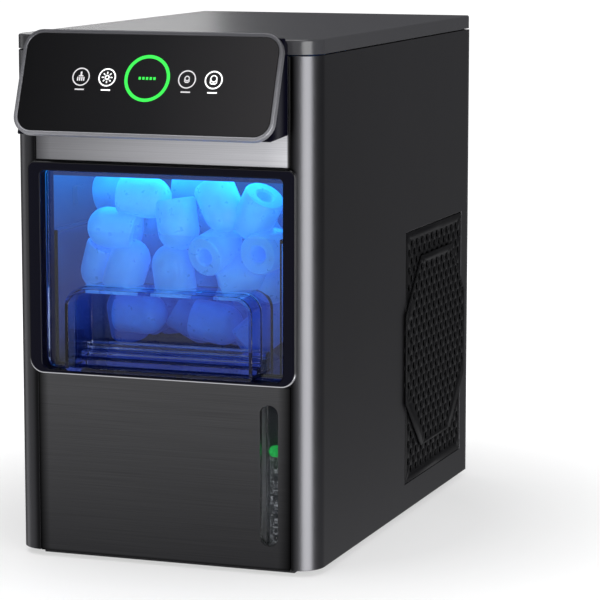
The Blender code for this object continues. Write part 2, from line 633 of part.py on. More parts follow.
def make_control_panel():
    """A glass face in a rim, with its board behind it, on a wedge housing."""
    up = Vector((0, math.sin(PANEL_LEAN), math.cos(PANEL_LEAN)))
    out = Vector((0, -math.cos(PANEL_LEAN), math.sin(PANEL_LEAN)))
    foot = Vector((0, FRONT - FRONT_REACH, PANEL_LOW))
    lean = Matrix.Translation(foot) @ Matrix.Rotation(math.pi / 2 - PANEL_LEAN, 4, "X")
    inner_half = PANEL_HALF - RIM_WIDTH
    inner = (RIM_WIDTH, PANEL_HEIGHT - RIM_WIDTH)
    inner_radius = PANEL_CORNER - RIM_WIDTH
    rim = plate("panel_rim", "Z", -RIM_DEPTH, 0,
                [rounded((-PANEL_HALF, PANEL_HALF), (0, PANEL_HEIGHT), PANEL_CORNER, PANEL_CORNER, 6),
                 rounded((-inner_half, inner_half), inner, inner_radius, inner_radius, 6)])
    finish(rim, (0.35, 0.35, 0.36), 0.3, 0.8)
    glass = plate("panel_glass", "Z", -0.0024, -0.0004,
                  [rounded((GAP - inner_half, inner_half - GAP), (inner[0] + GAP, inner[1] - GAP),
                           inner_radius, inner_radius, 6)])
    finish(glass, BLACK, 0.05)
    board = box("control_board", (-0.078, 0.078), (0.010, 0.060), (-0.0048, -0.0036))
    pads = [(x, 0.0386) for x in (-0.0452, -0.0272, 0.0272, 0.0452)]
    unite(board, rod("key_pads", "Z", 0.0055, -0.0040, -0.0027, pads, CUTTERS, 12),
          rod("ring_pad", "Z", 0.015, -0.0040, -0.0027, [(0, 0.0386)], CUTTERS, 20),
          box("board_chip", (-0.012, 0.012), (0.020, 0.034), (-0.0070, -0.0042), CUTTERS),
          box("board_plug", (0.040, 0.062), (0.014, 0.022), (-0.0110, -0.0042), CUTTERS))
    finish(board, BOARD_GREEN, 0.5)
    for piece in (rim, glass, board, *(tool.object for tool in board.modifiers)):
        piece.matrix_world = lean @ piece.matrix_basis
    front_low = foot - out * (RIM_DEPTH + GAP) + up * 0.0010
    front_high = front_low + up * (PANEL_HEIGHT - 0.0020)
    back = FRONT - GAP
    bottom, top = PANEL_LOW + 0.0006, 0.3415
    half = PANEL_HALF - 0.0018
    profile = [(back, bottom), (back, top), (front_high.y, front_high.z), (front_low.y, front_low.z)]
    housing = plate("panel_housing", "X", -half, half, [profile])
    wall = 0.0022
    mouth = out * 0.004
    hollow = [(back - wall, bottom + wall), (back - wall, top - wall),
              (front_high.y + mouth.y, front_high.z + mouth.z - wall),
              (front_low.y + mouth.y, front_low.z + mouth.z + wall)]
    cut(housing, plate("housing_hollow", "X", wall - half, half - wall, [hollow], CUTTERS))
    finish(housing, BLACK, 0.35)


def make_top_deck():
    opening = rectangle((-0.080, 0.080), (-0.140, 0.0165))
    finish(plate("top_deck", "Z", *DECK_Z, [inner_plan(), opening]), (0.35, 0.36, 0.38), 0.4)


def line_notches(name, y):
    """Two slots at the top of a wall, where the refrigerant lines pass."""
    return [box(f"{name}_{side}", sorted((sign * (LINE_X - 0.006), sign * (LINE_X + 0.006))), y,
                (0.317, 0.335), CUTTERS) for side, sign in SIDES]


def make_partition():
    outline = rectangle((-INSIDE + 0.0004, INSIDE - 0.0004), (PAN_TOP + GAP, DECK_Z[0] - GAP))
    wall = plate("partition", "Y", PARTITION_Y, PARTITION_Y + SHEET,
                 [outline, circle((DRAIN_X, DRAIN_Z), 0.0075)])
    cut(wall, *line_notches("partition_notch", (PARTITION_Y - 0.005, PARTITION_Y + 0.007)))
    finish(wall, STEEL, 0.5, 0.6)


def make_chamber_frame():
    """A U of cheeks and a rear wall that hangs from the deck by two flanges."""
    top = DECK_Z[0] - GAP
    outline = [(-CHEEK_OUT, CHAMBER_FRONT), (-CHEEK_IN, CHAMBER_FRONT), (-CHEEK_IN, CHAMBER_REAR - 0.0025),
               (CHEEK_IN, CHAMBER_REAR - 0.0025), (CHEEK_IN, CHAMBER_FRONT), (CHEEK_OUT, CHAMBER_FRONT),
               (CHEEK_OUT, CHAMBER_REAR), (-CHEEK_OUT, CHAMBER_REAR)]
    frame = plate("chamber_frame", "Z", 0.268, top, [outline])
    flanges = [box(f"{side}_flange", sorted((sign * (CHEEK_OUT - 0.001), sign * 0.092)),
                   (CHAMBER_FRONT, CHAMBER_REAR), (top - 0.0025, top), CUTTERS) for side, sign in SIDES]
    unite(frame, *flanges)
    cut(frame, rod("tray_bearings", "X", 0.0034, -0.090, 0.090, [TRAY_AXIS], CUTTERS),
        rod("shovel_bearings", "X", 0.0029, -0.090, 0.090, [SHOVEL_AXIS], CUTTERS, 12),
        rod("hose_hole", "X", 0.0050, 0.070, 0.085, [(0.0076, 0.3115)], CUTTERS, 12),
        box("return_gap", (-0.072, 0.072), (0.010, 0.025), (0.250, 0.302), CUTTERS),
        *line_notches("frame_notch", (0.012, 0.022)))
    finish(frame, (0.45, 0.47, 0.50), 0.4)


def make_evaporator():
    """A manifold block with eight cold fingers that hang into the tray."""
    block = box("evaporator", (-0.058, 0.058), (-0.043, 0), MANIFOLD_Z)
    fingers = [(x, y) for x in FINGER_X for y in FINGER_Y]
    unite(block, rod("fingers", "Z", 0.0045, FINGER_LOW, MANIFOLD_Z[0] + 0.002, fingers, CUTTERS, 10),
          box("ears", (-CHEEK_IN + GAP, CHEEK_IN - GAP), (-0.032, -0.012), (0.3235, 0.3255), CUTTERS),
          rod("line_stubs", "Y", 0.003, -0.002, 0.0055, [(-LINE_X, LINE_Z), (LINE_X, LINE_Z)], CUTTERS, 10))
    finish(block, COPPER, 0.3, 1.0)


def make_tray():
    """The tilting water tray, its motor and the shovel that swings with it."""
    tray = open_box("water_tray", (-TRAY_HALF, TRAY_HALF), TRAY_Y, TRAY_Z, 0.0018, [UP])
    for side, sign in SIDES:
        stub = sorted((sign * (TRAY_HALF - 0.001), sign * STUB_END))
        unite(tray, rod(f"{side}_tray_stub", "X", 0.003, *stub, [TRAY_AXIS], CUTTERS, 12))
    finish(tray, WHITE, 0.3)
    hang([tray], "tray_tilt", (0, *TRAY_AXIS))

    half, teeth = 0.064, 8
    y, z = SHOVEL_AXIS
    low = z - 0.030
    pitch = 2 * half / teeth
    shovel = box("ice_shovel", (-half, half), (y - 0.001, y + 0.001), (low, z - 0.001))
    gaps = [rectangle((x - 0.0025, x + 0.0025), (low - 0.004, low + 0.008))
            for x in [pitch * i - half for i in range(1, teeth)]]
    cut(shovel, plate("shovel_gaps", "Y", y - 0.004, y + 0.004, gaps, CUTTERS))
    unite(shovel, rod("shovel_shaft", "X", 0.0025, -STUB_END, STUB_END, [SHOVEL_AXIS], CUTTERS, 12))
    finish(shovel, BLACK, 0.4)
    hang([shovel], "shovel_sweep", (0, *SHOVEL_AXIS))

    motor = rod("tray_motor", "X", 0.014, -0.0995, -0.0805, [TRAY_AXIS])
    unite(motor, box("motor_plate", (-0.0812, -0.0783), (-0.068, -0.029), (0.280, 0.316), CUTTERS),
          rod("motor_dog", "X", 0.0026, -0.0800, -STUB_END - GAP, [TRAY_AXIS], CUTTERS, 10))
    finish(motor, STEEL, 0.4, 0.8)


def make_compressor():
    profile = [(0, 0.165), (0.020, 0.163), (0.040, 0.151), (0.0475, 0.136), (0.0475, 0.100), (0.050, 0.098),
               (0.050, 0.092), (0.0475, 0.090), (0.0475, 0.036), (0.040, 0.021), (0.020, 0.016), (0, 0.016)]
    pot = turned("compressor", profile, (*COMPRESSOR_AT, 0), steps=24)
    x, y = COMPRESSOR_AT
    feet = box("compressor_feet", (x - 0.047, x + 0.047), (y - 0.043, y + 0.043), (PAN_TOP + GAP, 0.0185),
               CUTTERS)
    unite(pot, feet,
          rod("compressor_stubs", "Z", 0.0035, 0.145, STUB_TOP, [DISCHARGE_AT, SUCTION_AT], CUTTERS, 10))
    finish(pot, BLACK, 0.4, 0.2)


def make_condenser():
    """A finned block that air is drawn through, with its inlet on top and its outlet below."""
    core = box("condenser", CONDENSER_X, CONDENSER_Y, CONDENSER_Z)
    fins = [rectangle((y, y + 0.007), (CONDENSER_Z[0] + 0.008, CONDENSER_Z[1] - 0.008))
            for y in [CONDENSER_Y[0] + 0.008 + 0.0117 * i for i in range(10)]]
    cut(core, plate("fin_gaps", "X", CONDENSER_X[0] - 0.005, CONDENSER_X[1] + 0.005, fins, CUTTERS))
    unite(core, rod("condenser_inlet", "Z", 0.0035, CONDENSER_Z[1] - 0.003, CONDENSER_Z[1] + 0.003,
                    [(0.082, DISCHARGE_AT[1])], CUTTERS, 10),
          rod("condenser_outlet", "X", 0.0035, 0.062, 0.070, [(DRIER_AT[1], 0.030)], CUTTERS, 10))
    finish(core, (0.75, 0.75, 0.76), 0.4, 1.0)


def make_fan():
    """A fan behind the condenser: its shroud, motor and blades."""
    centre = (FAN_Y, FAN_Z)
    frame_x = (0.040, 0.0635)
    shroud = plate("fan_shroud", "X", *frame_x,
                   [rectangle((FAN_Y - 0.062, FAN_Y + 0.062), (FAN_Z - 0.062, FAN_Z + 0.062)),
                    circle(centre, FAN_BORE, 32)])
    arm_x = (frame_x[0], frame_x[0] + 0.003)
    reach = FAN_BORE + 0.002
    spider = plate("fan_spider", "X", *arm_x, [circle(centre, 0.0205, 20)], CUTTERS)
    half = 0.002
    arms = [box("arm_level", arm_x, (FAN_Y - reach, FAN_Y + reach), (FAN_Z - half, FAN_Z + half), CUTTERS),
            box("arm_upright", arm_x, (FAN_Y - half, FAN_Y + half), (FAN_Z - reach, FAN_Z + reach), CUTTERS)]
    unite(shroud, spider, *arms)
    cut(shroud, rod("motor_seat", "X", 0.0175, 0.030, 0.0445, [centre], CUTTERS, 20))
    finish(shroud, BLACK, 0.5)
    motor = rod("fan_motor", "X", 0.0171, 0.014, 0.0440, [centre], steps=20)
    unite(motor, rod("fan_shaft", "X", 0.002, 0.040, 0.058, [centre], CUTTERS, 10))
    finish(motor, STEEL, 0.4, 0.8)
    hub = rod("fan_blades", "X", 0.014, 0.0458, 0.0600, [centre], steps=20)
    middle = Vector((0.0529, *centre))
    for i in range(FAN_BLADES):
        blade = box(f"blade_{i}", (-0.00075, 0.00075), (-0.013, 0.013), (0.012, FAN_RADIUS), CUTTERS)
        turn = Matrix.Rotation(2 * math.pi * i / FAN_BLADES, 4, "X")
        pitch = Matrix.Rotation(math.radians(28), 4, "Z")
        blade.matrix_world = Matrix.Translation(middle) @ turn @ pitch @ blade.matrix_basis
        unite(hub, blade)
    cut(hub, rod("hub_bore", "X", 0.0023, 0.040, 0.0590, [centre], CUTTERS, 10))
    finish(hub, (0.03, 0.03, 0.035), 0.4)
    hang([hub], "fan_spin", middle)


def make_refrigerant_lines():
    low, high = DRIER_Z
    profile = [(0, high), (0.003, high), (0.008, high - 0.012), (0.008, low + 0.012), (0.003, low), (0, low)]
    finish(turned("filter_drier", profile, (*DRIER_AT, 0), steps=16), COPPER, 0.3, 1.0)
    start = STUB_TOP + GAP
    inlet = CONDENSER_Z[1] + 0.003 + GAP
    routes = {
        "discharge_line": ([(*DISCHARGE_AT, start), (*DISCHARGE_AT, 0.212), (0.082, DISCHARGE_AT[1], 0.212),
                            (0.082, DISCHARGE_AT[1], inlet)], 0.003),
        "suction_line": ([(-LINE_X, 0.0058, LINE_Z), (-LINE_X, 0.080, LINE_Z), (*SUCTION_AT, 0.285),
                          (*SUCTION_AT, start)], 0.003),
        "condenser_line": ([(0.0617, DRIER_AT[1], 0.030), (DRIER_AT[0], DRIER_AT[1], 0.030),
                            (*DRIER_AT, low - GAP)], 0.0025),
        "liquid_line": ([(*DRIER_AT, high + GAP), (*DRIER_AT, 0.310), (LINE_X, 0.110, LINE_Z),
                         (LINE_X, 0.0058, LINE_Z)], 0.002),
    }
    for name, (corners, radius) in routes.items():
        finish(pipe(name, corners, radius, 0.011), COPPER, 0.3, 1.0)


def make_power_board():
    """The mains board on four stand-offs behind the partition."""
    face = PARTITION_Y + SHEET + 0.004
    board = box("power_board", (-0.090, -0.008), (face, face + 0.0016), (0.205, 0.300))
    posts = [(x, z) for x in (-0.085, -0.013) for z in (0.210, 0.295)]
    parts = (("transformer", (-0.080, -0.046), (0.215, 0.247), 0.024),
             ("relay", (-0.038, -0.020), (0.218, 0.233), 0.018),
             ("terminals", (-0.080, -0.030), (0.282, 0.292), 0.012),
             ("heat_sink", (-0.070, -0.064), (0.254, 0.276), 0.020),
             ("fuse", (-0.052, -0.030), (0.258, 0.264), 0.008))
    unite(board, rod("stand_offs", "Y", 0.0025, PARTITION_Y + SHEET + GAP, face + 0.0008, posts, CUTTERS, 8))
    for name, x, z, height in parts:
        unite(board, box(name, x, (face + 0.0008, face + height), z, CUTTERS))
    finish(board, BOARD_GREEN, 0.5)


make_base()
make_side_panels()
make_vent_grilles()
make_rear_panel()
make_front()
make_sight()
make_drawer()
make_bay()
make_tank()
make_drain()
make_cord_gland()
make_lid()
make_control_panel()
make_top_deck()
make_partition()
make_chamber_frame()
make_evaporator()
make_tray()
make_compressor()
make_condenser()
make_fan()
make_refrigerant_lines()
make_power_board()
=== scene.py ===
import json
import math

import bmesh
import bpy
from mathutils import Matrix, Vector

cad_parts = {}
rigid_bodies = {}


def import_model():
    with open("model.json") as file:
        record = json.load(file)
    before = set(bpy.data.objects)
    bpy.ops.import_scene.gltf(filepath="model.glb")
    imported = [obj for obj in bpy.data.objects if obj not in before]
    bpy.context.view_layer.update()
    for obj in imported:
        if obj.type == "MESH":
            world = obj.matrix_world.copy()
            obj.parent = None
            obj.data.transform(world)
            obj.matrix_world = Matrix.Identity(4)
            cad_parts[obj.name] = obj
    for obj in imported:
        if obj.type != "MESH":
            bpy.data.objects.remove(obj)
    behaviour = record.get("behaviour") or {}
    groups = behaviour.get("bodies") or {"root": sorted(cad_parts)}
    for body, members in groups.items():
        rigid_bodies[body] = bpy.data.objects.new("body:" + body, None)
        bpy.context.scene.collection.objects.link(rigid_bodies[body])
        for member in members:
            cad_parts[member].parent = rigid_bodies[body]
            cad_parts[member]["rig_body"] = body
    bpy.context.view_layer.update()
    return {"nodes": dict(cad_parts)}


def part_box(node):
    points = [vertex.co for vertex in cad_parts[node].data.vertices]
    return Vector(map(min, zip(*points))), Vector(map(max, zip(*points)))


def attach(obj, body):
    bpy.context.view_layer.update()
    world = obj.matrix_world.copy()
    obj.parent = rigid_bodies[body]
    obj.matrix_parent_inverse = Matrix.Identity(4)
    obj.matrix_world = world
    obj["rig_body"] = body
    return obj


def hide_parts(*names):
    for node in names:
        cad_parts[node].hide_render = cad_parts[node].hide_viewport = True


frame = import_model()
scene = bpy.context.scene
scene.view_settings.view_transform = "Standard"  # keeps the drawer's deep blue
print("frame loaded")

camera = {
    "azimuth": 19.65,
    "elevation": 8.55,
    "distance": 1.9543,
    "lookAt": (0.0335, 0.013, 0.1530),
    "lens": 168.4,
}


def onSphere(azimuth, elevation, distance, centre):
    a, e = math.radians(azimuth), math.radians(elevation)
    back = Vector((math.sin(a) * math.cos(e), -math.cos(a) * math.cos(e), math.sin(e)))
    return Vector(centre) + back * distance


def aimAt(holder, target):
    holder.rotation_euler = (Vector(target) - holder.location).to_track_quat("-Z", "Y").to_euler()


def addCamera():
    data = bpy.data.cameras.new("camera")
    data.lens = camera["lens"]
    data.clip_end = 100
    holder = bpy.data.objects.new("camera", data)
    scene.collection.objects.link(holder)
    target = camera["lookAt"]
    holder.location = onSphere(camera["azimuth"], camera["elevation"], camera["distance"], target)
    aimAt(holder, target)
    scene.camera = holder


# azimuth, elevation and distance from the machine's middle; size across and up, in metres
lights = {
    "overhead": {"at": (-25, 78, 1.9), "size": (1.8, 1.8), "watts": 30, "aim": 0.20},
    "rightStrip": {"at": (49, -6, 1.6), "size": (1.15, 1.7), "watts": 35, "aim": 0.17},
    "leftStrip": {"at": (-92, -6, 1.6), "size": (0.6, 1.7), "watts": 2.7, "aim": 0.17},
    "lidSheen": {"at": (-146, 14, 1.8), "size": (0.75, 0.5), "watts": 1.5, "aim": 0.30},
    "sideSheen": {"at": (160, -8, 2.0), "size": (0.7, 1.6), "watts": 0.22, "aim": 0.17},
}


def newLamp(name, size, watts):
    data = bpy.data.lights.new(name, "AREA")
    data.shape = "RECTANGLE"
    data.size, data.size_y = size
    data.energy = watts
    lamp = bpy.data.objects.new(name, data)
    scene.collection.objects.link(lamp)
    return lamp


def addLights():
    for name, light in lights.items():
        lamp = newLamp(name, light["size"], light["watts"])
        target = Vector((0, camera["lookAt"][1], light["aim"]))
        lamp.location = onSphere(*light["at"], target)
        aimAt(lamp, target)


bayLight = {
    "place": (0, -0.085, 0.2592),
    "size": (0.15, 0.11),
    "watts": 0.36,
    "colour": (0.012, 0.46, 1.0),
}


def addBayLight():
    # the glow of the light strip, thrown down on the ice
    lamp = newLamp("bayLight", bayLight["size"], bayLight["watts"])
    lamp.data.color = bayLight["colour"]
    lamp.location = bayLight["place"]


studio = {
    "backdrop": (1.0, 1.0, 1.0),
    "walls": [(0.0, (0.95, 0.95, 0.97)), (0.30, (0.60, 0.60, 0.62)), (0.40, (0.055, 0.055, 0.058)),
              (0.54, (0.080, 0.080, 0.088)), (0.66, (0.16, 0.16, 0.17)), (1.0, (0.30, 0.30, 0.31))],
    "front": (-32, -8),
    "frontGlow": [(0.0, (0.0, 0.0, 0.0)), (0.50, (0.01, 0.01, 0.01)), (0.78, (0.20, 0.20, 0.20)),
                  (0.93, (0.55, 0.55, 0.56)), (1.0, (0.75, 0.75, 0.76))],
}


def addWorld():
    # a white backdrop; the machine itself sees pale floor light, dim walls and a soft glow in front
    world = bpy.data.worlds.new("studio")
    scene.world = world
    world.use_nodes = True
    world.node_tree.nodes.clear()
    out = addNode(world, "ShaderNodeOutputWorld")
    mix = addNode(world, "ShaderNodeMixShader")
    seen = addNode(world, "ShaderNodeBackground", Color=(*studio["backdrop"], 1))
    fill = addNode(world, "ShaderNodeBackground")
    place = addNode(world, "ShaderNodeTexCoord").outputs["Generated"]
    split = addNode(world, "ShaderNodeSeparateXYZ")
    height = addNode(world, "ShaderNodeMapRange", From_Min=-1)
    towards = addNode(world, "ShaderNodeVectorMath")
    towards.operation = "DOT_PRODUCT"
    towards.inputs[1].default_value = onSphere(*studio["front"], 1, (0, 0, 0))
    path = addNode(world, "ShaderNodeLightPath")
    link(world, place, towards.inputs[0])
    link(world, place, split.inputs["Vector"])
    link(world, split.outputs["Z"], height.inputs["Value"])
    walls = colourRamp(world, height.outputs["Result"], studio["walls"])
    glow = colourRamp(world, towards.outputs["Value"], studio["frontGlow"])
    link(world, blend(world, walls, glow, "ADD"), fill.inputs["Color"])
    link(world, path.outputs["Is Camera Ray"], mix.inputs["Fac"])
    link(world, fill.outputs[0], mix.inputs[1])
    link(world, seen.outputs[0], mix.inputs[2])
    link(world, mix.outputs[0], out.inputs["Surface"])


def newPaint(name, colour, roughness, metallic=0.0, **sockets):
    # a Principled material whose colour and roughness the functions below can vary
    paint = bpy.data.materials.new(name)
    paint.use_nodes = True
    shader = paint.node_tree.nodes["Principled BSDF"]
    shader.inputs["Base Color"].default_value = (*colour, 1)
    shader.inputs["Roughness"].default_value = roughness
    shader.inputs["Metallic"].default_value = metallic
    for socket, value in sockets.items():
        shader.inputs[socket.replace("_", " ")].default_value = value
    return paint


def shaderOf(paint):
    return paint.node_tree.nodes["Principled BSDF"]


def addNode(paint, kind, **inputs):
    node = paint.node_tree.nodes.new(kind)
    for socket, value in inputs.items():
        node.inputs[socket.replace("_", " ")].default_value = value
    return node


def link(paint, source, target):
    paint.node_tree.links.new(source, target)


def grain(paint, scale, detail=3.0, stretch=(1, 1, 1)):
    # noise on the piece's own coordinates
    place = addNode(paint, "ShaderNodeTexCoord")
    mapping = addNode(paint, "ShaderNodeMapping", Scale=stretch)
    noise = addNode(paint, "ShaderNodeTexNoise", Scale=scale, Detail=detail)
    link(paint, place.outputs["Object"], mapping.inputs["Vector"])
    link(paint, mapping.outputs["Vector"], noise.inputs["Vector"])
    return noise.outputs["Fac"]


def along(paint, axis, low, high):
    # 0 to 1 between two places on an axis
    place = addNode(paint, "ShaderNodeTexCoord")
    split = addNode(paint, "ShaderNodeSeparateXYZ")
    spread = addNode(paint, "ShaderNodeMapRange", From_Min=low, From_Max=high)
    link(paint, place.outputs["Object"], split.inputs["Vector"])
    link(paint, split.outputs[axis], spread.inputs["Value"])
    return spread.outputs["Result"]


def colourRamp(paint, source, stops):
    ramp = addNode(paint, "ShaderNodeValToRGB")
    while len(ramp.color_ramp.elements) < len(stops):
        ramp.color_ramp.elements.new(0.5)
    for element, (at, colour) in zip(ramp.color_ramp.elements, stops):
        element.position = at
        element.color = (*colour, 1)
    link(paint, source, ramp.inputs["Fac"])
    return ramp.outputs["Color"]


def blend(paint, first, second, way="MULTIPLY"):
    mix = paint.node_tree.nodes.new("ShaderNodeMix")
    mix.data_type = "RGBA"
    mix.blend_type = way
    mix.inputs[0].default_value = 1
    link(paint, first, mix.inputs[6])
    link(paint, second, mix.inputs[7])
    return mix.outputs[2]


def tint(paint, source, low, high):
    # light and dark of the paint's own colour
    base = shaderOf(paint).inputs["Base Color"]
    colour = base.default_value[:3]
    dark = tuple(min(1, c * low) for c in colour)
    light = tuple(min(1, c * high) for c in colour)
    link(paint, colourRamp(paint, source, [(0.3, dark), (0.7, light)]), base)


def varyRoughness(paint, source, spread):
    roughness = shaderOf(paint).inputs["Roughness"]
    middle = roughness.default_value
    wander = addNode(paint, "ShaderNodeMapRange", From_Min=0.3, From_Max=0.7,
                     To_Min=max(0.01, middle - spread), To_Max=min(1, middle + spread))
    link(paint, source, wander.inputs["Value"])
    link(paint, wander.outputs["Result"], roughness)


def addBump(paint, source, depth, strength=0.5):
    bump = addNode(paint, "ShaderNodeBump", Distance=depth, Strength=strength)
    link(paint, source, bump.inputs["Height"])
    link(paint, bump.outputs["Normal"], shaderOf(paint).inputs["Normal"])


def brushed(name, colour, roughness, stretch, spread=(0.85, 1.15), depth=0.00002):
    # metal with fine parallel scratches; stretch is small along them
    paint = newPaint(name, colour, roughness, 1.0)
    scratches = grain(paint, 1.0, 4.0, stretch)
    tint(paint, scratches, *spread)
    varyRoughness(paint, scratches, 0.06)
    addBump(paint, scratches, depth)
    return paint


def moulded(name, colour, roughness, texture=2600, depth=0.00003, **sockets):
    # plastic with a fine spark-eroded texture
    paint = newPaint(name, colour, roughness, 0.0, **sockets)
    tint(paint, grain(paint, 60), 0.96, 1.04)
    varyRoughness(paint, grain(paint, 70), 0.05)
    addBump(paint, grain(paint, texture, 2.0), depth, 0.4)
    return paint


def coated(name, colour, roughness, metallic=0.0, depth=0.00002, **sockets):
    # painted or plated sheet with a faint orange peel
    paint = newPaint(name, colour, roughness, metallic, **sockets)
    tint(paint, grain(paint, 30), 0.98, 1.02)
    varyRoughness(paint, grain(paint, 60), 0.008)
    addBump(paint, grain(paint, 500, 2.0), depth, 0.12)
    return paint


def clear(name, colour, roughness, ior=1.38, **sockets):
    # see-through moulded plastic
    paint = newPaint(name, colour, roughness, 0.0, IOR=ior, Transmission_Weight=1.0, **sockets)
    tint(paint, grain(paint, 20, 2.0), 0.96, 1.0)
    varyRoughness(paint, grain(paint, 40, 2.0), 0.01)
    addBump(paint, grain(paint, 60, 2.0), 0.00003, 0.15)
    return paint


def glowing(name, colour, strength, roughness=0.4):
    # a printed or moulded piece that glows: the marks and the strip are lit from behind, and the float
    # ball's glow is painted light
    paint = newPaint(name, colour, roughness, 0.0, Emission_Strength=strength)
    dimmer = tuple(c * 0.88 for c in colour)
    spots = colourRamp(paint, grain(paint, 260, 2.0), [(0.3, dimmer), (0.7, colour)])
    link(paint, spots, shaderOf(paint).inputs["Emission Color"])
    return paint


def gradedAlong(paint, axis, low, high, stops):
    # multiplies the paint's colour by a ramp along an axis, painting light and shade into it
    base = shaderOf(paint).inputs["Base Color"]
    ramp = colourRamp(paint, along(paint, axis, low, high), stops)
    link(paint, blend(paint, base.links[0].from_socket, ramp), base)


# a pale glowing floor, with painted shade around the machine's foot that fades out to the backdrop's white
floorGlowAndShade = {
    "half": 14,
    "near": 0.16,
    "far": 0.50,
    # the floor's glow at the machine's foot, kept lower as painted shade
    "under": 0.55,
    "colour": 0.35,
}


def addFloor():
    shape = bmesh.new()
    bmesh.ops.create_grid(shape, x_segments=1, y_segments=1, size=floorGlowAndShade["half"])
    data = bpy.data.meshes.new("floor")
    shape.to_mesh(data)
    shape.free()
    floor = bpy.data.objects.new("floor", data)
    scene.collection.objects.link(floor)
    paint = newPaint("floorPaint", (floorGlowAndShade["colour"],) * 3, 0.8, Specular_IOR_Level=0.1,
                     Emission_Strength=1)
    place = addNode(paint, "ShaderNodeTexCoord")
    reach = addNode(paint, "ShaderNodeVectorMath")
    reach.operation = "LENGTH"
    spread = addNode(paint, "ShaderNodeMapRange", From_Min=floorGlowAndShade["near"],
                     From_Max=floorGlowAndShade["far"])
    link(paint, place.outputs["Object"], reach.inputs[0])
    link(paint, reach.outputs["Value"], spread.inputs["Value"])
    # painted shade near the machine, full white further out
    stops = [(0.0, (floorGlowAndShade["under"],) * 3), (1.0, (1, 1, 1))]
    light = colourRamp(paint, spread.outputs["Result"], stops)
    link(paint, light, shaderOf(paint).inputs["Emission Color"])
    data.materials.append(paint)
    floor.visible_glossy = False
    floor.visible_shadow = False
    floor.visible_diffuse = False
    floor.visible_transmission = False


addCamera()
addLights()
addBayLight()
addWorld()
addFloor()
print("camera, lights and floor in place")

blackSteel = coated("blackSteel", (0.095, 0.095, 0.101), 0.33, 1.0, 0.000006)
rearSteel = coated("rearSteel", (0.042, 0.042, 0.045), 0.30, 1.0)
lidSatin = coated("lidSatin", (0.035, 0.035, 0.038), 0.26, 0.0, Specular_IOR_Level=0.5)
lidLiner = moulded("lidLiner", (0.30, 0.31, 0.32), 0.6)
lowerBrushed = brushed("lowerBrushed", (0.075, 0.075, 0.077), 0.40, (14, 14, 2600))
bandBrushed = brushed("bandBrushed", (1.0, 1.0, 1.0), 0.38, (9, 9, 2400), (0.82, 1.0))
trimSteel = coated("trimSteel", (0.52, 0.52, 0.54), 0.20, 1.0)
rimSatin = coated("rimSatin", (0.22, 0.22, 0.235), 0.36, 0.4)
pianoBlack = coated("pianoBlack", (0.002, 0.002, 0.006), 0.10, 0.0, 0.00001, Specular_IOR_Level=0.08)
satinBlack = moulded("satinBlack", (0.006, 0.006, 0.007), 0.45, Specular_IOR_Level=0.25)
grilleBlack = moulded("grilleBlack", (0.004, 0.004, 0.0045), 0.50, Specular_IOR_Level=0.10)
filterBlack = moulded("filterBlack", (0.003, 0.003, 0.003), 0.95, 900)
rubberBlack = moulded("rubberBlack", (0.012, 0.012, 0.012), 0.85, 1400)
whitePlastic = moulded("whitePlastic", (0.78, 0.79, 0.81), 0.40)
linerGrey = moulded("linerGrey", (0.42, 0.44, 0.47), 0.45)
plainSteel = brushed("plainSteel", (0.50, 0.50, 0.51), 0.35, (400, 400, 400))
zincSheet = coated("zincSheet", (0.46, 0.47, 0.48), 0.42, 0.9)
copperTube = brushed("copperTube", (0.72, 0.36, 0.20), 0.28, (300, 300, 300))
nickelPlate = coated("nickelPlate", (0.62, 0.60, 0.57), 0.22, 1.0)
finStock = brushed("finStock", (0.70, 0.70, 0.71), 0.38, (900, 60, 60))
enamelBlack = coated("enamelBlack", (0.012, 0.012, 0.013), 0.28)
boardGreen = moulded("boardGreen", (0.02, 0.17, 0.07), 0.45)
# the float ball's glow is painted light; the ball is no lamp
floatGreen = glowing("floatGreen", (0.03, 0.60, 0.11), 0.9, 0.3)
ringGreen = glowing("ringGreen", (0.02, 0.50, 0.045), 1.0)
markBright = glowing("markBright", (0.80, 0.80, 0.80), 0.9)
markDim = glowing("markDim", (0.40, 0.39, 0.40), 0.85)
ledBlue = glowing("ledBlue", (0.05, 0.35, 1.0), 4.0)
windowClear = clear("windowClear", (0.86, 0.93, 1.0), 0.02, Specular_IOR_Level=0.14)
tubClear = clear("tubClear", (0.90, 0.94, 1.0), 0.03, 1.12, Specular_IOR_Level=0.4)
gripClear = clear("gripClear", (0.55, 0.68, 1.0), 0.02, Specular_IOR_Level=0.22)
lensClear = clear("lensClear", (0.72, 0.73, 0.75), 0.03, 1.08, Specular_IOR_Level=0.5)

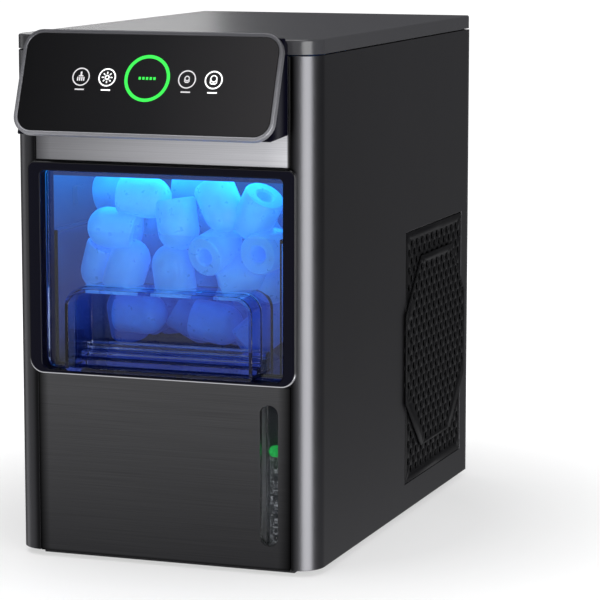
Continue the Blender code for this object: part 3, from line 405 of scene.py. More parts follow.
# light and shade painted into a finish from one end of its piece to the other: the paint, the axis, its two
# ends, colour factors
paintedLightAndShade = [
    # painted highlight: the band darkest at its left end and brightening towards its right, with painted
    # shade at its very right end
    (bandBrushed, "X", -0.088, 0.088, [
        (0.0, (0.10, 0.10, 0.105)), (0.06, (0.28, 0.28, 0.29)), (0.5, (0.55, 0.55, 0.57)),
        (0.90, (0.74, 0.74, 0.76)), (0.985, (0.92, 0.92, 0.94)), (0.991, (0.01, 0.01, 0.01))]),
    # painted shade: the front-facing part of each round corner darkened, full colour further round towards
    # the side
    (blackSteel, "X", -0.105, 0.105, [
        (0.045, (1.0, 1.0, 1.0)), (0.072, (0.10, 0.10, 0.10)),
        (0.925, (0.10, 0.10, 0.10)), (0.945, (1.0, 1.0, 1.0))]),
    # painted highlight along the trim's bottom, the rest of it darkened as painted shade
    (trimSteel, "Z", 0.1233, 0.1335, [(0.25, (1.0, 1.0, 1.0)), (1.0, (0.07, 0.07, 0.07))]),
    # painted shade: the panel rim darker towards its top
    (rimSatin, "Z", 0.285, 0.347, [(0.0, (1.0, 1.0, 1.0)), (1.0, (0.35, 0.35, 0.36))]),
    # painted shade: the lower panel dark at its foot, a little lighter towards its top
    (lowerBrushed, "Z", 0.004, 0.123, [
        (0.0, (0.02, 0.02, 0.02)), (0.012, (0.45, 0.45, 0.46)), (1.0, (1.1, 1.1, 1.1))]),
    # painted shade at the lower panel's side edges, slightly darker towards its right
    (lowerBrushed, "X", -0.088, 0.088, [
        (0.0, (0.02, 0.02, 0.02)), (0.04, (1.0, 1.0, 1.0)),
        (0.95, (0.9, 0.9, 0.9)), (1.0, (0.02, 0.02, 0.02))]),
]
for paintedRamp in paintedLightAndShade:
    gradedAlong(*paintedRamp)

# the glass's colour from end to end, a painted reflection that grows towards its right
face = {
    "left": (0.0020, 0.0020, 0.0025),
    "middle": (0.008, 0.008, 0.009),
    "right": (0.022, 0.021, 0.022),
    "half": 0.086,
}


def faceMaterial():
    # printed glass, near black at its left end and, as a painted reflection, a little lighter towards its
    # right
    paint = newPaint("faceGlass", face["middle"], 0.32, 0.0, Coat_Weight=0.04, Coat_Roughness=0.18,
                     Specular_IOR_Level=0.12)
    stops = [(0.0, face["left"]), (0.5, face["middle"]), (1.0, face["right"])]
    shade = colourRamp(paint, along(paint, "X", -face["half"], face["half"]), stops)
    link(paint, shade, shaderOf(paint).inputs["Base Color"])
    varyRoughness(paint, grain(paint, 30, 2.0), 0.02)
    return paint


faceGlass = faceMaterial()

# painted glow of the bay's light, its colours from the bay's floor up to the strip, and the ice's painted
# light and shade from its front to the back
bayGlow = {
    "low": 0.127,
    "high": 0.257,
    "front": -0.145,
    "lightBack": -0.085,
    "colourBack": -0.080,
    # the ice's painted glow, from the bay's floor up to the strip
    "ice": [(0.0, (0.030, 0.055, 0.26)), (0.30, (0.055, 0.13, 0.46)), (0.55, (0.060, 0.21, 0.66)),
            (0.80, (0.030, 0.32, 0.85)), (1.0, (0.020, 0.56, 1.0))],
    # painted light on the ice, fading towards the back
    "depth": [(0.0, (1.0, 1.0, 1.0)), (0.35, (0.75, 0.80, 0.90)), (1.0, (0.10, 0.30, 0.60))],
    # painted shade in the ice's colour towards the back
    "deep": [(0.25, (1, 1, 1)), (0.8, (0.10, 0.18, 0.34))],
    # the dark strips' painted glow, rising towards the top
    "border": [(0.0, (0.001, 0.001, 0.010)), (0.5, (0.002, 0.004, 0.035)), (1.0, (0.005, 0.030, 0.16))],
    # the walls' painted glow, from the bay's floor up to the strip
    "wall": [(0.0, (0.001, 0.001, 0.012)), (0.11, (0.008, 0.016, 0.09)), (0.34, (0.018, 0.036, 0.17)),
             (0.68, (0.014, 0.070, 0.30)), (0.90, (0.004, 0.13, 0.52)), (1.0, (0.003, 0.18, 0.66))],
}


def glowByHeight(paint, stops):
    return colourRamp(paint, along(paint, "Z", bayGlow["low"], bayGlow["high"]), stops)


def iceMaterial():
    # cloudy blue ice with the strip's light painted in as a glow, brightest at the top and front
    paint = newPaint("iceGlow", (0.105, 0.46, 0.76), 0.32, 0.0, IOR=1.31, Transmission_Weight=0.25,
                     Emission_Strength=0.72)
    # painted glow rising towards the strip, dimmed towards the back of the heap
    light = glowByHeight(paint, bayGlow["ice"])
    clouds = colourRamp(paint, grain(paint, 120, 4.0), [(0.3, (0.72, 0.72, 0.74)), (0.7, (1, 1, 1))])
    reach = along(paint, "Y", bayGlow["front"], bayGlow["lightBack"])
    light = blend(paint, light, colourRamp(paint, reach, bayGlow["depth"]))
    link(paint, blend(paint, light, clouds), shaderOf(paint).inputs["Emission Color"])
    tint(paint, grain(paint, 90), 0.85, 1.0)
    # painted shade: the ice's colour darker towards the back of the heap
    gradedAlong(paint, "Y", bayGlow["front"], bayGlow["colourBack"], bayGlow["deep"])
    varyRoughness(paint, grain(paint, 200), 0.06)
    addBump(paint, grain(paint, 130), 0.0003, 0.12)
    return paint


def wallMaterial():
    # the bay's walls, with the strip's light painted in as a glow that is brightest at their top
    paint = newPaint("linerGlow", (0.004, 0.010, 0.040), 0.5, 0.0, Emission_Strength=1.0,
                     Specular_IOR_Level=0.05)
    light = glowByHeight(paint, bayGlow["wall"])
    soft = colourRamp(paint, grain(paint, 22, 2.0), [(0.3, (0.75, 0.75, 0.78)), (0.7, (1, 1, 1))])
    link(paint, blend(paint, light, soft), shaderOf(paint).inputs["Emission Color"])
    addBump(paint, grain(paint, 1500, 2.0), 0.00003, 0.3)
    return paint


def darkMarginMaterial():
    # the dark strips at the window's sides and top, with a little of the bay's light painted in as a glow
    # that rises towards the top
    paint = newPaint("darkMarginGlow", (0.002, 0.002, 0.010), 0.45, 0.0, Emission_Strength=1.0,
                     Specular_IOR_Level=0.05)
    link(paint, glowByHeight(paint, bayGlow["border"]), shaderOf(paint).inputs["Emission Color"])
    varyRoughness(paint, grain(paint, 50), 0.03)
    return paint


darkMarginGlow = darkMarginMaterial()
iceGlow = iceMaterial()
linerGlow = wallMaterial()
print("materials ready")


sharpAngle = math.radians(35)  # edges steeper than this stay crisp


def addPiece(name, shape, paint, body, replaced=(), evenShade=True):
    data = bpy.data.meshes.new(name)
    shape.to_mesh(data)
    shape.free()
    data.materials.append(paint)
    data.shade_smooth()
    data.set_sharp_from_angle(angle=sharpAngle)
    piece = bpy.data.objects.new(name, data)
    scene.collection.objects.link(piece)
    if evenShade:  # keeps large flat faces flat beside their rounded edges
        shade = piece.modifiers.new("evenShade", "WEIGHTED_NORMAL")
        shade.keep_sharp = True
    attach(piece, body)
    if replaced:
        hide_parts(*replaced)
    return piece


def dress(paint, *names):
    # a CAD node keeps its shape and takes this finish
    for name in names:
        data = frame["nodes"][name].data
        data.materials.clear()
        data.materials.append(paint)
        data.set_sharp_from_angle(angle=sharpAngle)


def block(low, high):
    shape = bmesh.new()
    bmesh.ops.create_cube(shape, size=1)
    bmesh.ops.scale(shape, vec=Vector(high) - Vector(low), verts=shape.verts)
    bmesh.ops.translate(shape, vec=(Vector(low) + Vector(high)) / 2, verts=shape.verts)
    return shape


def roundEdges(shape, edges, width, segments):
    if edges:
        bmesh.ops.bevel(shape, geom=edges, offset=width, offset_type="OFFSET", affect="EDGES",
                        segments=segments, profile=0.5, material=-1, clamp_overlap=True)


def sharpEdges(shape, angle=50):
    limit = math.radians(angle)
    return [e for e in shape.edges if len(e.link_faces) == 2 and e.calc_face_angle(0) > limit]


def edgesAlong(shape, axis):
    way = Vector(axis)
    return [e for e in shape.edges if abs((e.verts[1].co - e.verts[0].co).normalized().dot(way)) > 0.99]


def roundBlock(low, high, axis, corner, edge, segments, edgeSegments):
    # a block with round corners about an axis and its other edges softened
    shape = block(low, high)
    roundEdges(shape, edgesAlong(shape, axis), corner, segments)
    roundEdges(shape, sharpEdges(shape, 60), edge, edgeSegments)
    return shape


def faceOut(shape):
    bmesh.ops.recalc_face_normals(shape, faces=shape.faces)


def cornered(shape, points, radii, steps=8):
    # a flat face in XY through a few points, each corner rounded by its own radius
    corners = [shape.verts.new((x, y, 0)) for x, y in points]
    shape.faces.new(corners)
    for corner, radius in zip(corners, radii):
        if radius:
            bmesh.ops.bevel(shape, geom=[corner], offset=radius, offset_type="OFFSET", affect="VERTICES",
                            segments=steps, profile=0.5, material=-1)


def plate(low, high, radii, steps=8):
    # a round-cornered rectangle; radii are those of the lower and of the upper corners
    shape = bmesh.new()
    points = [low, (high[0], low[1]), high, (low[0], high[1])]
    cornered(shape, points, (radii[0], radii[0], radii[1], radii[1]), steps)
    return shape


def pierced(sheet, holes):
    # the sheet again with openings, each hole being a sheet of its own
    for part in (sheet, *holes):
        bmesh.ops.delete(part, geom=part.faces[:], context="FACES_ONLY")
    for hole in holes:
        data = bpy.data.meshes.new("hole")
        hole.to_mesh(data)
        hole.free()
        sheet.from_mesh(data)
        bpy.data.meshes.remove(data)
    bmesh.ops.triangle_fill(sheet, use_beauty=True, use_dissolve=False, edges=sheet.edges[:])
    return sheet


def thicken(shape, depth):
    # pulls a flat sheet out along Z into a closed body
    made = bmesh.ops.extrude_face_region(shape, geom=shape.faces[:])
    fresh = [v for v in made["geom"] if isinstance(v, bmesh.types.BMVert)]
    bmesh.ops.translate(shape, vec=(0, 0, depth), verts=fresh)
    faceOut(shape)


def joined(*shapes):
    # several bodies in one mesh
    whole = shapes[0]
    for extra in shapes[1:]:
        data = bpy.data.meshes.new("part")
        extra.to_mesh(data)
        extra.free()
        whole.from_mesh(data)
        bpy.data.meshes.remove(data)
    return whole


def standUp(shape, front):
    # turns a body made flat in XY to face the front, its top face at y = front
    top = max(v.co.z for v in shape.verts)
    turn = Matrix.Translation((0, front, 0)) @ Matrix.Rotation(math.pi / 2, 4, "X")
    bmesh.ops.transform(shape, matrix=turn @ Matrix.Translation((0, 0, -top)), verts=shape.verts)
    faceOut(shape)


def cleanCopy(name):
    # the mesh of a CAD node with its doubles merged
    shape = bmesh.new()
    shape.from_mesh(frame["nodes"][name].data)
    bmesh.ops.remove_doubles(shape, verts=shape.verts, dist=0.00002)
    return shape


def softened(name, paint, width):
    # a CAD node's shape again, with its edges rounded
    shape = cleanCopy(name)
    bmesh.ops.dissolve_limit(shape, angle_limit=math.radians(2), verts=shape.verts, edges=shape.edges)
    roundEdges(shape, sharpEdges(shape, 40), width, 3)
    addPiece(name + "Soft", shape, paint, frame["nodes"][name]["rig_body"], (name,))


def giveWall(piece, thickness):
    # turns a sheet into a wall that grows inwards
    skin = piece.modifiers.new("wall", "SOLIDIFY")
    skin.thickness = thickness
    skin.offset = -1


def softenRims(piece, width):
    # rounds the cut edges of sheet metal
    edge = piece.modifiers.new("edge", "BEVEL")
    edge.width = width
    edge.segments = 2
    edge.harden_normals = True
    edge.limit_method = "ANGLE"
    edge.angle_limit = math.radians(60)


def mirrored(shape, sign):
    # the left-hand version of a shape that is built for the right
    if sign < 0:
        bmesh.ops.scale(shape, vec=(-1, 1, 1), verts=shape.verts)


def frontRims(shape, front):
    return [e for e in sharpEdges(shape) if max(v.co.y for v in e.verts) < front + 0.0001]


sides = (("left", -1), ("right", 1))

casing = {
    "corner": 0.017,
    "sheet": 0.002,
    "arcSteps": 20,
    "edge": 0.0004,
    "openingY": (0.031, 0.166),
    "openingZ": (0.023, 0.201),
    "lidBackCorner": 0.0015,
    "lidEdge": 0.0014,
    "lidWall": 0.003,
    "lidTop": 0.0026,
}


def sideShell(side, sign):
    # one sheet: a short front return, the round front corner and the long side with its vent opening
    low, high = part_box(f"{side}_side_panel")
    outer = max(abs(low.x), abs(high.x))
    corner = casing["corner"]
    shape = bmesh.new()
    base = [shape.verts.new((outer - corner, low.y, z)) for z in (low.z, high.z)]
    edge = shape.edges.new(base)
    bmesh.ops.spin(shape, geom=[edge, *base], cent=(outer - corner, low.y + corner, 0),
                   axis=(0, 0, 1), dvec=(0, 0, 0), angle=math.radians(90), steps=casing["arcSteps"],
                   use_duplicate=False)
    last = [e for e in shape.edges if all(abs(v.co.x - outer) < 1e-5 for v in e.verts)
            and abs(e.verts[0].co.z - e.verts[1].co.z) > 0.1]
    grown = bmesh.ops.extrude_edge_only(shape, edges=last)
    fresh = [v for v in grown["geom"] if isinstance(v, bmesh.types.BMVert)]
    bmesh.ops.translate(shape, vec=(0, high.y - low.y - corner, 0), verts=fresh)
    spanY, spanZ = casing["openingY"], casing["openingZ"]
    for axis, places in (((0, 1, 0), spanY), ((0, 0, 1), spanZ)):
        for place in places:
            everything = shape.verts[:] + shape.edges[:] + shape.faces[:]
            bmesh.ops.bisect_plane(shape, geom=everything, dist=1e-6, plane_co=Vector(axis) * place,
                                   plane_no=axis)
    inside = [f for f in shape.faces if spanY[0] < f.calc_center_median().y < spanY[1]
              and spanZ[0] < f.calc_center_median().z < spanZ[1]
              and f.calc_center_median().x > outer - 0.001]
    bmesh.ops.delete(shape, geom=inside, context="FACES")
    mirrored(shape, sign)
    faceOut(shape)
    outward = [f for f in shape.faces if abs(f.normal.x) > 0.99]
    if outward and outward[0].normal.x * sign < 0:
        bmesh.ops.reverse_faces(shape, faces=shape.faces)
    piece = addPiece(f"{side}SideShell", shape, blackSteel, "cabinet",
                     (f"{side}_side_panel",), False)
    giveWall(piece, casing["sheet"])
    softenRims(piece, casing["edge"])


def lid():
    # a shallow pan, hollow from below
    low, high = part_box("top_lid")
    shape = block(low, high)
    front = [e for e in edgesAlong(shape, (0, 0, 1)) if e.verts[0].co.y < 0]
    roundEdges(shape, front, casing["corner"], casing["arcSteps"])
    back = [e for e in edgesAlong(shape, (0, 0, 1)) if e.verts[0].co.y > 0 and len(e.link_faces) == 2
            and e.calc_face_angle(0) > 1]
    roundEdges(shape, back, casing["lidBackCorner"], 3)
    rims = [e for e in sharpEdges(shape, 60) if min(v.co.z for v in e.verts) > high.z - 0.001]
    roundEdges(shape, rims, casing["lidEdge"], 5)
    under = [f for f in shape.faces if f.normal.z < -0.99]
    bmesh.ops.inset_region(shape, faces=under, thickness=casing["lidWall"], use_even_offset=True,
                           use_boundary=True)
    under = [f for f in shape.faces if f.normal.z < -0.99 and len(f.verts) > 20]
    result = bmesh.ops.extrude_discrete_faces(shape, faces=under)
    hollow = high.z - low.z - casing["lidTop"]
    bmesh.ops.translate(shape, vec=(0, 0, hollow), verts=result["faces"][0].verts)
    addPiece("lidShell", shape, lidSatin, "lid", ("top_lid",))


for side, sign in sides:
    sideShell(side, sign)
lid()
dress(lidLiner, "lid_insulation")

sheets = {
    "corner": 0.0008,
    "edge": 0.0007,
    "slotGap": 0.0003,
}


def faceSheets():
    # the brushed sheets of the front: the band above the drawer, and the panel below it with its slot
    low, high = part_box("fascia_band")
    corner = sheets["corner"]
    band = roundBlock(low, high, (0, 1, 0), corner, corner, 4, 4)
    addPiece("fasciaBand", band, bandBrushed, "cabinet", ("fascia_band",))
    low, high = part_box("lower_panel")
    slotLow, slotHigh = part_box("sight_window")
    grow = sheets["slotGap"]
    slot = plate((slotLow.x - grow, slotLow.z - grow), (slotHigh.x + grow, slotHigh.z + grow),
                 ((slotHigh.x - slotLow.x) / 2 + grow - 0.0001,) * 2, 12)
    sheet = pierced(plate((low.x, low.z), (high.x, high.z), (corner, corner), 3), [slot])
    thicken(sheet, high.y - low.y)
    standUp(sheet, low.y)
    roundEdges(sheet, frontRims(sheet, low.y), sheets["edge"], 4)
    addPiece("lowerPanel", sheet, lowerBrushed, "cabinet", ("lower_panel",))


rear = {
    "edge": 0.0003,
    "screw": 0.0032,
    "screwHeight": 0.6,
    "screwRound": 0.35,
    "socketRim": 0.28,
    "socketDepth": 0.35,
    "screwRows": (0.016, 0.168, 0.322),
    "screwColumn": 0.097,
    "screwSink": 0.0002,
}


def screwHead(place):
    # a pan head that stands out backwards, with a socket; its proportions are parts of the radius
    radius = rear["screw"]
    shape = bmesh.new()
    bmesh.ops.create_circle(shape, cap_ends=True, radius=radius, segments=20)
    thicken(shape, radius * rear["screwHeight"])
    top = [f for f in shape.faces if f.normal.z > 0.99]
    roundEdges(shape, list(top[0].edges), radius * rear["screwRound"], 4)
    top = [f for f in shape.faces if f.normal.z > 0.99]
    bmesh.ops.inset_region(shape, faces=top, thickness=radius * rear["socketRim"], use_even_offset=True)
    bmesh.ops.inset_region(shape, faces=top, thickness=0.0001, depth=-radius * rear["socketDepth"],
                           use_even_offset=True)
    turn = Matrix.Rotation(-math.pi / 2, 4, "X")
    bmesh.ops.transform(shape, matrix=Matrix.Translation(place) @ turn, verts=shape.verts)
    return shape


def rearPanel():
    low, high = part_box("rear_panel")
    piece = addPiece("rearSheet", cleanCopy("rear_panel"), rearSteel, "cabinet",
                     ("rear_panel",), False)
    softenRims(piece, rear["edge"])
    heads = [screwHead((side * rear["screwColumn"], high.y - rear["screwSink"], z))
             for side in (-1, 1) for z in rear["screwRows"]]
    addPiece("rearScrews", joined(*heads), plainSteel, "cabinet")


faceSheets()
rearPanel()
dress(satinBlack, "front_frame", "base_pan")
dress(linerGrey, "top_deck", "chamber_frame")
dress(zincSheet, "partition")
print("casing done")

panel = {
    "lean": 21.1,
    "height": 0.070,
    "half": 0.0883,
    "corner": 0.013,
    "rimWidth": 0.0026,
    "rimDepth": 0.005,
    "rimEdge": 0.0009,
    "glassGap": 0.0002,
    "glassBack": -0.0024,
    "glassFront": -0.0005,
    "glassEdge": 0.0003,
    "markRow": 0.0387,
    "markProud": 0.00006,
}


def panelPlace():
    low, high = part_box("panel_rim")
    tilt = math.radians(panel["lean"])
    foot = Vector((0, low.y, low.z + panel["rimDepth"] * math.sin(tilt)))
    return Matrix.Translation(foot) @ Matrix.Rotation(math.pi / 2 - tilt, 4, "X")


lean = panelPlace()


def panelRim():
    half, rimWidth, corner = panel["half"], panel["rimWidth"], panel["corner"]
    opening = plate((-half + rimWidth, rimWidth), (half - rimWidth, panel["height"] - rimWidth),
                    (corner - rimWidth,) * 2, 12)
    shape = pierced(plate((-half, 0), (half, panel["height"]), (corner, corner), 12), [opening])
    thicken(shape, -panel["rimDepth"])
    roundEdges(shape, sharpEdges(shape, 60), panel["rimEdge"], 4)
    bmesh.ops.transform(shape, matrix=lean, verts=shape.verts)
    addPiece("panelRim", shape, rimSatin, "cabinet", ("panel_rim",))


def panelFace():
    inset = panel["rimWidth"] + panel["glassGap"]
    half = panel["half"] - inset
    shape = roundBlock((-half, inset, panel["glassBack"]),
                       (half, panel["height"] - inset, panel["glassFront"]), (0, 0, 1),
                       panel["corner"] - inset, panel["glassEdge"], 12, 2)
    bmesh.ops.transform(shape, matrix=lean, verts=shape.verts)
    addPiece("panelFace", shape, faceGlass, "cabinet", ("panel_glass",))


panelRim()
panelFace()
softened("panel_housing", pianoBlack, 0.0015)
dress(boardGreen, "control_board")

marks = {
    "ring": 0.0154,
    "ringLine": 0.0022,
    "circle": 0.0060,
    "brightLine": 0.0009,
    "dimLine": 0.0008,
    "barHalf": 0.0032,
    "barRow": -0.0083,
    "barLine": 0.0009,
    "wordBars": 5,
    "wordPitch": 0.0025,
    "wordHalf": 0.0008,
    "wordLine": 0.0018,
}


def annulus(shape, centre, radius, line, steps=40):
    # a flat ring from a circle that is inset and opened
    place = Matrix.Translation((*centre, 0))
    made = bmesh.ops.create_circle(shape, cap_ends=True, radius=radius, segments=steps, matrix=place)
    face = made["verts"][0].link_faces[0]
    bmesh.ops.inset_region(shape, faces=[face], thickness=line, use_even_offset=True, use_boundary=True)
    bmesh.ops.delete(shape, geom=[face], context="FACES")


def stroke(shape, start, end, line):
    # a flat bar between two points
    start, end = Vector((*start, 0)), Vector((*end, 0))
    way = end - start
    turn = Matrix.Rotation(math.atan2(way.y, way.x), 4, "Z")
    place = Matrix.Translation((start + end) / 2) @ turn
    place = place @ Matrix.Diagonal((way.length / 2, line / 2, 1, 1))
    bmesh.ops.create_grid(shape, x_segments=1, y_segments=1, size=1, matrix=place)


def broomMark(shape, x, y):
    # a cleaning brush: a handle over a stepped head
    stroke(shape, (x, y + 0.0008), (x, y + 0.0034), 0.0012)
    stroke(shape, (x - 0.0016, y + 0.0006), (x + 0.0016, y + 0.0006), 0.0008)
    for i in range(4):
        left = x - 0.0021 + 0.0014 * i
        stroke(shape, (left, y - 0.0026), (left, y - 0.0001), 0.0009)


def lampMark(shape, x, y):
    # a small sun
    annulus(shape, (x, y), 0.0017, 0.0008, 20)
    for i in range(8):
        a = math.radians(45 * i)
        stroke(shape, (x + 0.0023 * math.cos(a), y + 0.0023 * math.sin(a)),
               (x + 0.0037 * math.cos(a), y + 0.0037 * math.sin(a)), 0.0008)


def cubeMark(shape, x, y, size):
    # an ice bullet: a round-headed outline over a solid foot
    annulus(shape, (x, y + size * 0.35), size, 0.0007, 20)
    stroke(shape, (x - size + 0.0003, y - size * 0.9), (x - size + 0.0003, y + size * 0.35), 0.0007)
    stroke(shape, (x + size - 0.0003, y - size * 0.9), (x + size - 0.0003, y + size * 0.35), 0.0007)
    stroke(shape, (x - size * 0.7, y - size), (x + size * 0.7, y - size), 0.0009)


def panelMark(name, paint, draw):
    # printed marks, a hair in front of the glass
    shape = bmesh.new()
    draw(shape)
    lifted = lean @ Matrix.Translation((0, panel["markRow"], panel["glassFront"] + panel["markProud"]))
    bmesh.ops.transform(shape, matrix=lifted, verts=shape.verts)
    faceOut(shape)
    out = lean.to_3x3() @ Vector((0, 0, 1))
    back = [f for f in shape.faces if f.normal.dot(out) < 0]
    bmesh.ops.reverse_faces(shape, faces=back)
    addPiece(name, shape, paint, "cabinet")


def ringMark(shape):
    annulus(shape, (0, 0), marks["ring"], marks["ringLine"], 72)


def ringWord(shape):
    # a row of short bars stands where a word would
    for i in range(marks["wordBars"]):
        middle = -0.0050 + marks["wordPitch"] * i
        stroke(shape, (middle - marks["wordHalf"], 0), (middle + marks["wordHalf"], 0), marks["wordLine"])


def circled(shape, x, line, symbol, *size):
    # a symbol in its circle, over the bar that stands for its word
    annulus(shape, (x, 0), marks["circle"], line, 36)
    symbol(shape, x, 0, *size)
    half, row = marks["barHalf"], marks["barRow"]
    stroke(shape, (x - half, row), (x + half, row), marks["barLine"])


def brightMarks(shape):
    circled(shape, -0.0273, marks["brightLine"], lampMark)
    circled(shape, 0.0449, marks["brightLine"], cubeMark, 0.0024)


def dimMarks(shape):
    circled(shape, -0.0453, marks["dimLine"], broomMark)
    circled(shape, 0.0270, marks["dimLine"], cubeMark, 0.0018)


panelMark("powerRing", ringGreen, ringMark)
panelMark("powerBars", ringGreen, ringWord)
panelMark("brightMarks", markBright, brightMarks)
panelMark("dimMarks", markDim, dimMarks)
print("control panel done")

drawer = {
    "bezelFront": -0.1573,
    "bezelCorners": (0.010, 0.005),
    "openingCorners": (0.006, 0.003),
    "openingHalf": 0.0836,
    "openingHeights": (0.1262, 0.2565),
    "sleeve": 0.002,
    "bezelEdge": 0.0012,
    "trimWidth": 0.0015,
    "trimGrow": 0.0001,
    "trimDepth": 0.0026,
    "trimEdge": 0.0009,
    "notchHalf": 0.0653,
    "notchTop": 0.1813,
    "notchCorner": 0.012,
    "windowCorners": (0.006, 0.003),
    "windowEdge": 0.0008,
    "borderLeft": (0.0004, 0.0042),
    "borderRight": (0.0034, 0.0004),
    "borderHeights": (0.003, 0.001),
    "borderTop": (0.0035, 0.0005),
    "borderInset": 0.003,
    "borderDepth": 0.0003,
    "gripWall": 0.0025,
    "gripFootCorner": 0.003,
    "gripEdge": 0.0009,
    "steps": 3,
    "stepStart": 0.010,
    "stepPitch": 0.009,
    "stepRise": 0.0040,
    "stepHeight": 0.0041,
    "stepGap": 0.0002,
    "stepCorner": 0.0015,
    "stepEdge": 0.0008,
}


def bezel():
    # a glossy frame with a sleeve behind it, and a thin steel trim around its front, bright only along its
    # bottom by a painted highlight
    low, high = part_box("drawer_bezel")
    half, (foot, top) = drawer["openingHalf"], drawer["openingHeights"]
    outer, inner = drawer["bezelCorners"], drawer["openingCorners"]
    opening = plate((-half, foot), (half, top), inner)
    ring = pierced(plate((low.x, low.z), (high.x, high.z), outer), [opening])
    thicken(ring, drawer["bezelFront"] - low.y)
    standUp(ring, low.y)
    roundEdges(ring, frontRims(ring, low.y), drawer["bezelEdge"], 5)
    wall = drawer["sleeve"]
    opening = plate((-half, foot), (half, top), inner)
    sleeve = plate((-half - wall, foot - wall), (half + wall, top + wall),
                   (inner[0] + wall, inner[1] + wall))
    pierced(sleeve, [opening])
    thicken(sleeve, high.y - drawer["bezelFront"])
    standUp(sleeve, drawer["bezelFront"])
    addPiece("bezelFrame", joined(ring, sleeve), pianoBlack, "cabinet",
             ("drawer_bezel",))
    grow, line = drawer["trimGrow"], drawer["trimWidth"]
    opening = plate((low.x + line, low.z + line), (high.x - line, high.z - line),
                    (outer[0] - line, outer[1] - line))
    trim = pierced(plate((low.x - grow, low.z - grow), (high.x + grow, high.z + grow), outer), [opening])
    thicken(trim, drawer["trimDepth"])
    standUp(trim, low.y)
    roundEdges(trim, frontRims(trim, low.y), drawer["trimEdge"], 5)
    addPiece("bezelTrim", trim, trimSteel, "cabinet")


def window():
    # the clear front of the drawer, cut away over the grip
    low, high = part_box("drawer_window")
    notch, top = drawer["notchHalf"], drawer["notchTop"]
    points = [(low.x, low.z), (-notch, low.z), (-notch, top), (notch, top), (notch, low.z),
              (high.x, low.z), (high.x, high.z), (low.x, high.z)]
    foot, head = drawer["windowCorners"]
    bend = drawer["notchCorner"]
    shape = bmesh.new()
    cornered(shape, points, (foot, 0, bend, bend, 0, foot, head, head))
    thicken(shape, high.y - low.y)
    standUp(shape, low.y)
    roundEdges(shape, sharpEdges(shape, 60), drawer["windowEdge"], 3)
    addPiece("drawerWindow", shape, windowClear, "drawer", ("drawer_window",))


def windowBorder():
    # the dark strips behind the clear front at its sides and top
    low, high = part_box("drawer_window")
    left, right, heights = drawer["borderLeft"], drawer["borderRight"], drawer["borderHeights"]
    strips = []
    for start, end in ((low.x + left[0], low.x + left[1]), (high.x - right[0], high.x - right[1])):
        strips.append(plate((start, low.z + heights[0]), (end, high.z - heights[1]), (0.0015, 0.0015), 4))
    inset, (under, over) = drawer["borderInset"], drawer["borderTop"]
    strips.append(plate((low.x + inset, high.z - under), (high.x - inset, high.z - over),
                        (0.0008, 0.0008), 3))
    sheet = joined(*strips)
    thicken(sheet, drawer["borderDepth"])
    standUp(sheet, high.y + 0.0001)
    addPiece("windowBorder", sheet, darkMarginGlow, "drawer")


def grip():
    # an arched pocket with a rolled lip and a stepped floor
    low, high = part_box("drawer_grip")
    wall = drawer["gripWall"]
    shape = plate((low.x, low.z), (high.x, high.z), (drawer["gripFootCorner"], drawer["notchCorner"]))
    thicken(shape, high.y - low.y)
    standUp(shape, low.y)
    mouth = [f for f in shape.faces if f.normal.y < -0.99]
    bmesh.ops.inset_region(shape, faces=mouth, thickness=wall, use_even_offset=True)
    deep = bmesh.ops.extrude_discrete_faces(shape, faces=mouth)["faces"][0]
    bmesh.ops.translate(shape, vec=(0, high.y - low.y - wall, 0), verts=deep.verts)
    roundEdges(shape, sharpEdges(shape, 60), drawer["gripEdge"], 4)
    gap = drawer["stepGap"]
    steps = []
    for i in range(drawer["steps"]):
        start = low.y + drawer["stepStart"] + drawer["stepPitch"] * i
        foot = low.z + wall + gap + drawer["stepRise"] * i
        top = low.z + wall + drawer["stepHeight"] + drawer["stepRise"] * i
        steps.append(roundBlock((low.x + wall + gap, start, foot),
                                (high.x - wall - gap, high.y - wall - gap, top), (0, 0, 1),
                                drawer["stepCorner"], drawer["stepEdge"], 4, 3))
    addPiece("gripPocket", shape, gripClear, "drawer", ("drawer_grip",))
    addPiece("gripSteps", joined(*steps), gripClear, "drawer")


bezel()
window()
windowBorder()
grip()
dress(tubClear, "drawer_tub")
# the liner takes the walls' painted glow
dress(linerGlow, "bay_liner")
dress(ledBlue, "led_strip")
# the ice sensor takes the walls' painted glow too
dress(linerGlow, "ice_sensor")

# the heap's first bullet, and how far it is to the next across, to the back and up
ice = {
    "radius": 0.0136,
    "length": 0.034,
    "bore": 0.0055,
    "domeSteps": 6,
    "first": (-0.0525, -0.090, 0.1555),
    "pitch": (0.02625, 0.029, 0.026),
    "wander": (0.0025, 0.004, 0.004),
    "columns": 5,
    "rows": 3,
    "levels": 3,
}


def bullet(shape):
    # a turned bullet: dome, side, flat end and the bore that its cold finger left
    radius, length, bore = ice["radius"], ice["length"], ice["bore"]
    profile = []
    for i in range(ice["domeSteps"] + 1):
        turn = math.radians(90 * i / ice["domeSteps"])
        profile.append((radius * math.sin(turn), length - radius + radius * math.cos(turn)))
    profile += [(radius, 0.0015), (radius - 0.0010, 0.0), (bore + 0.0012, 0.0), (bore, 0.0012),
                (bore * 0.9, length * 0.55), (bore * 0.5, length * 0.66), (0.0, length * 0.68)]
    middle = Vector((0, 0, length / 2))
    verts = [shape.verts.new(Vector((r, 0, z)) - middle) for r, z in profile]
    edges = [shape.edges.new(pair) for pair in zip(verts, verts[1:])]
    bmesh.ops.spin(shape, geom=verts + edges, cent=(0, 0, 0), axis=(0, 0, 1), dvec=(0, 0, 0),
                   angle=math.radians(360), steps=20, use_merge=True, use_duplicate=False)


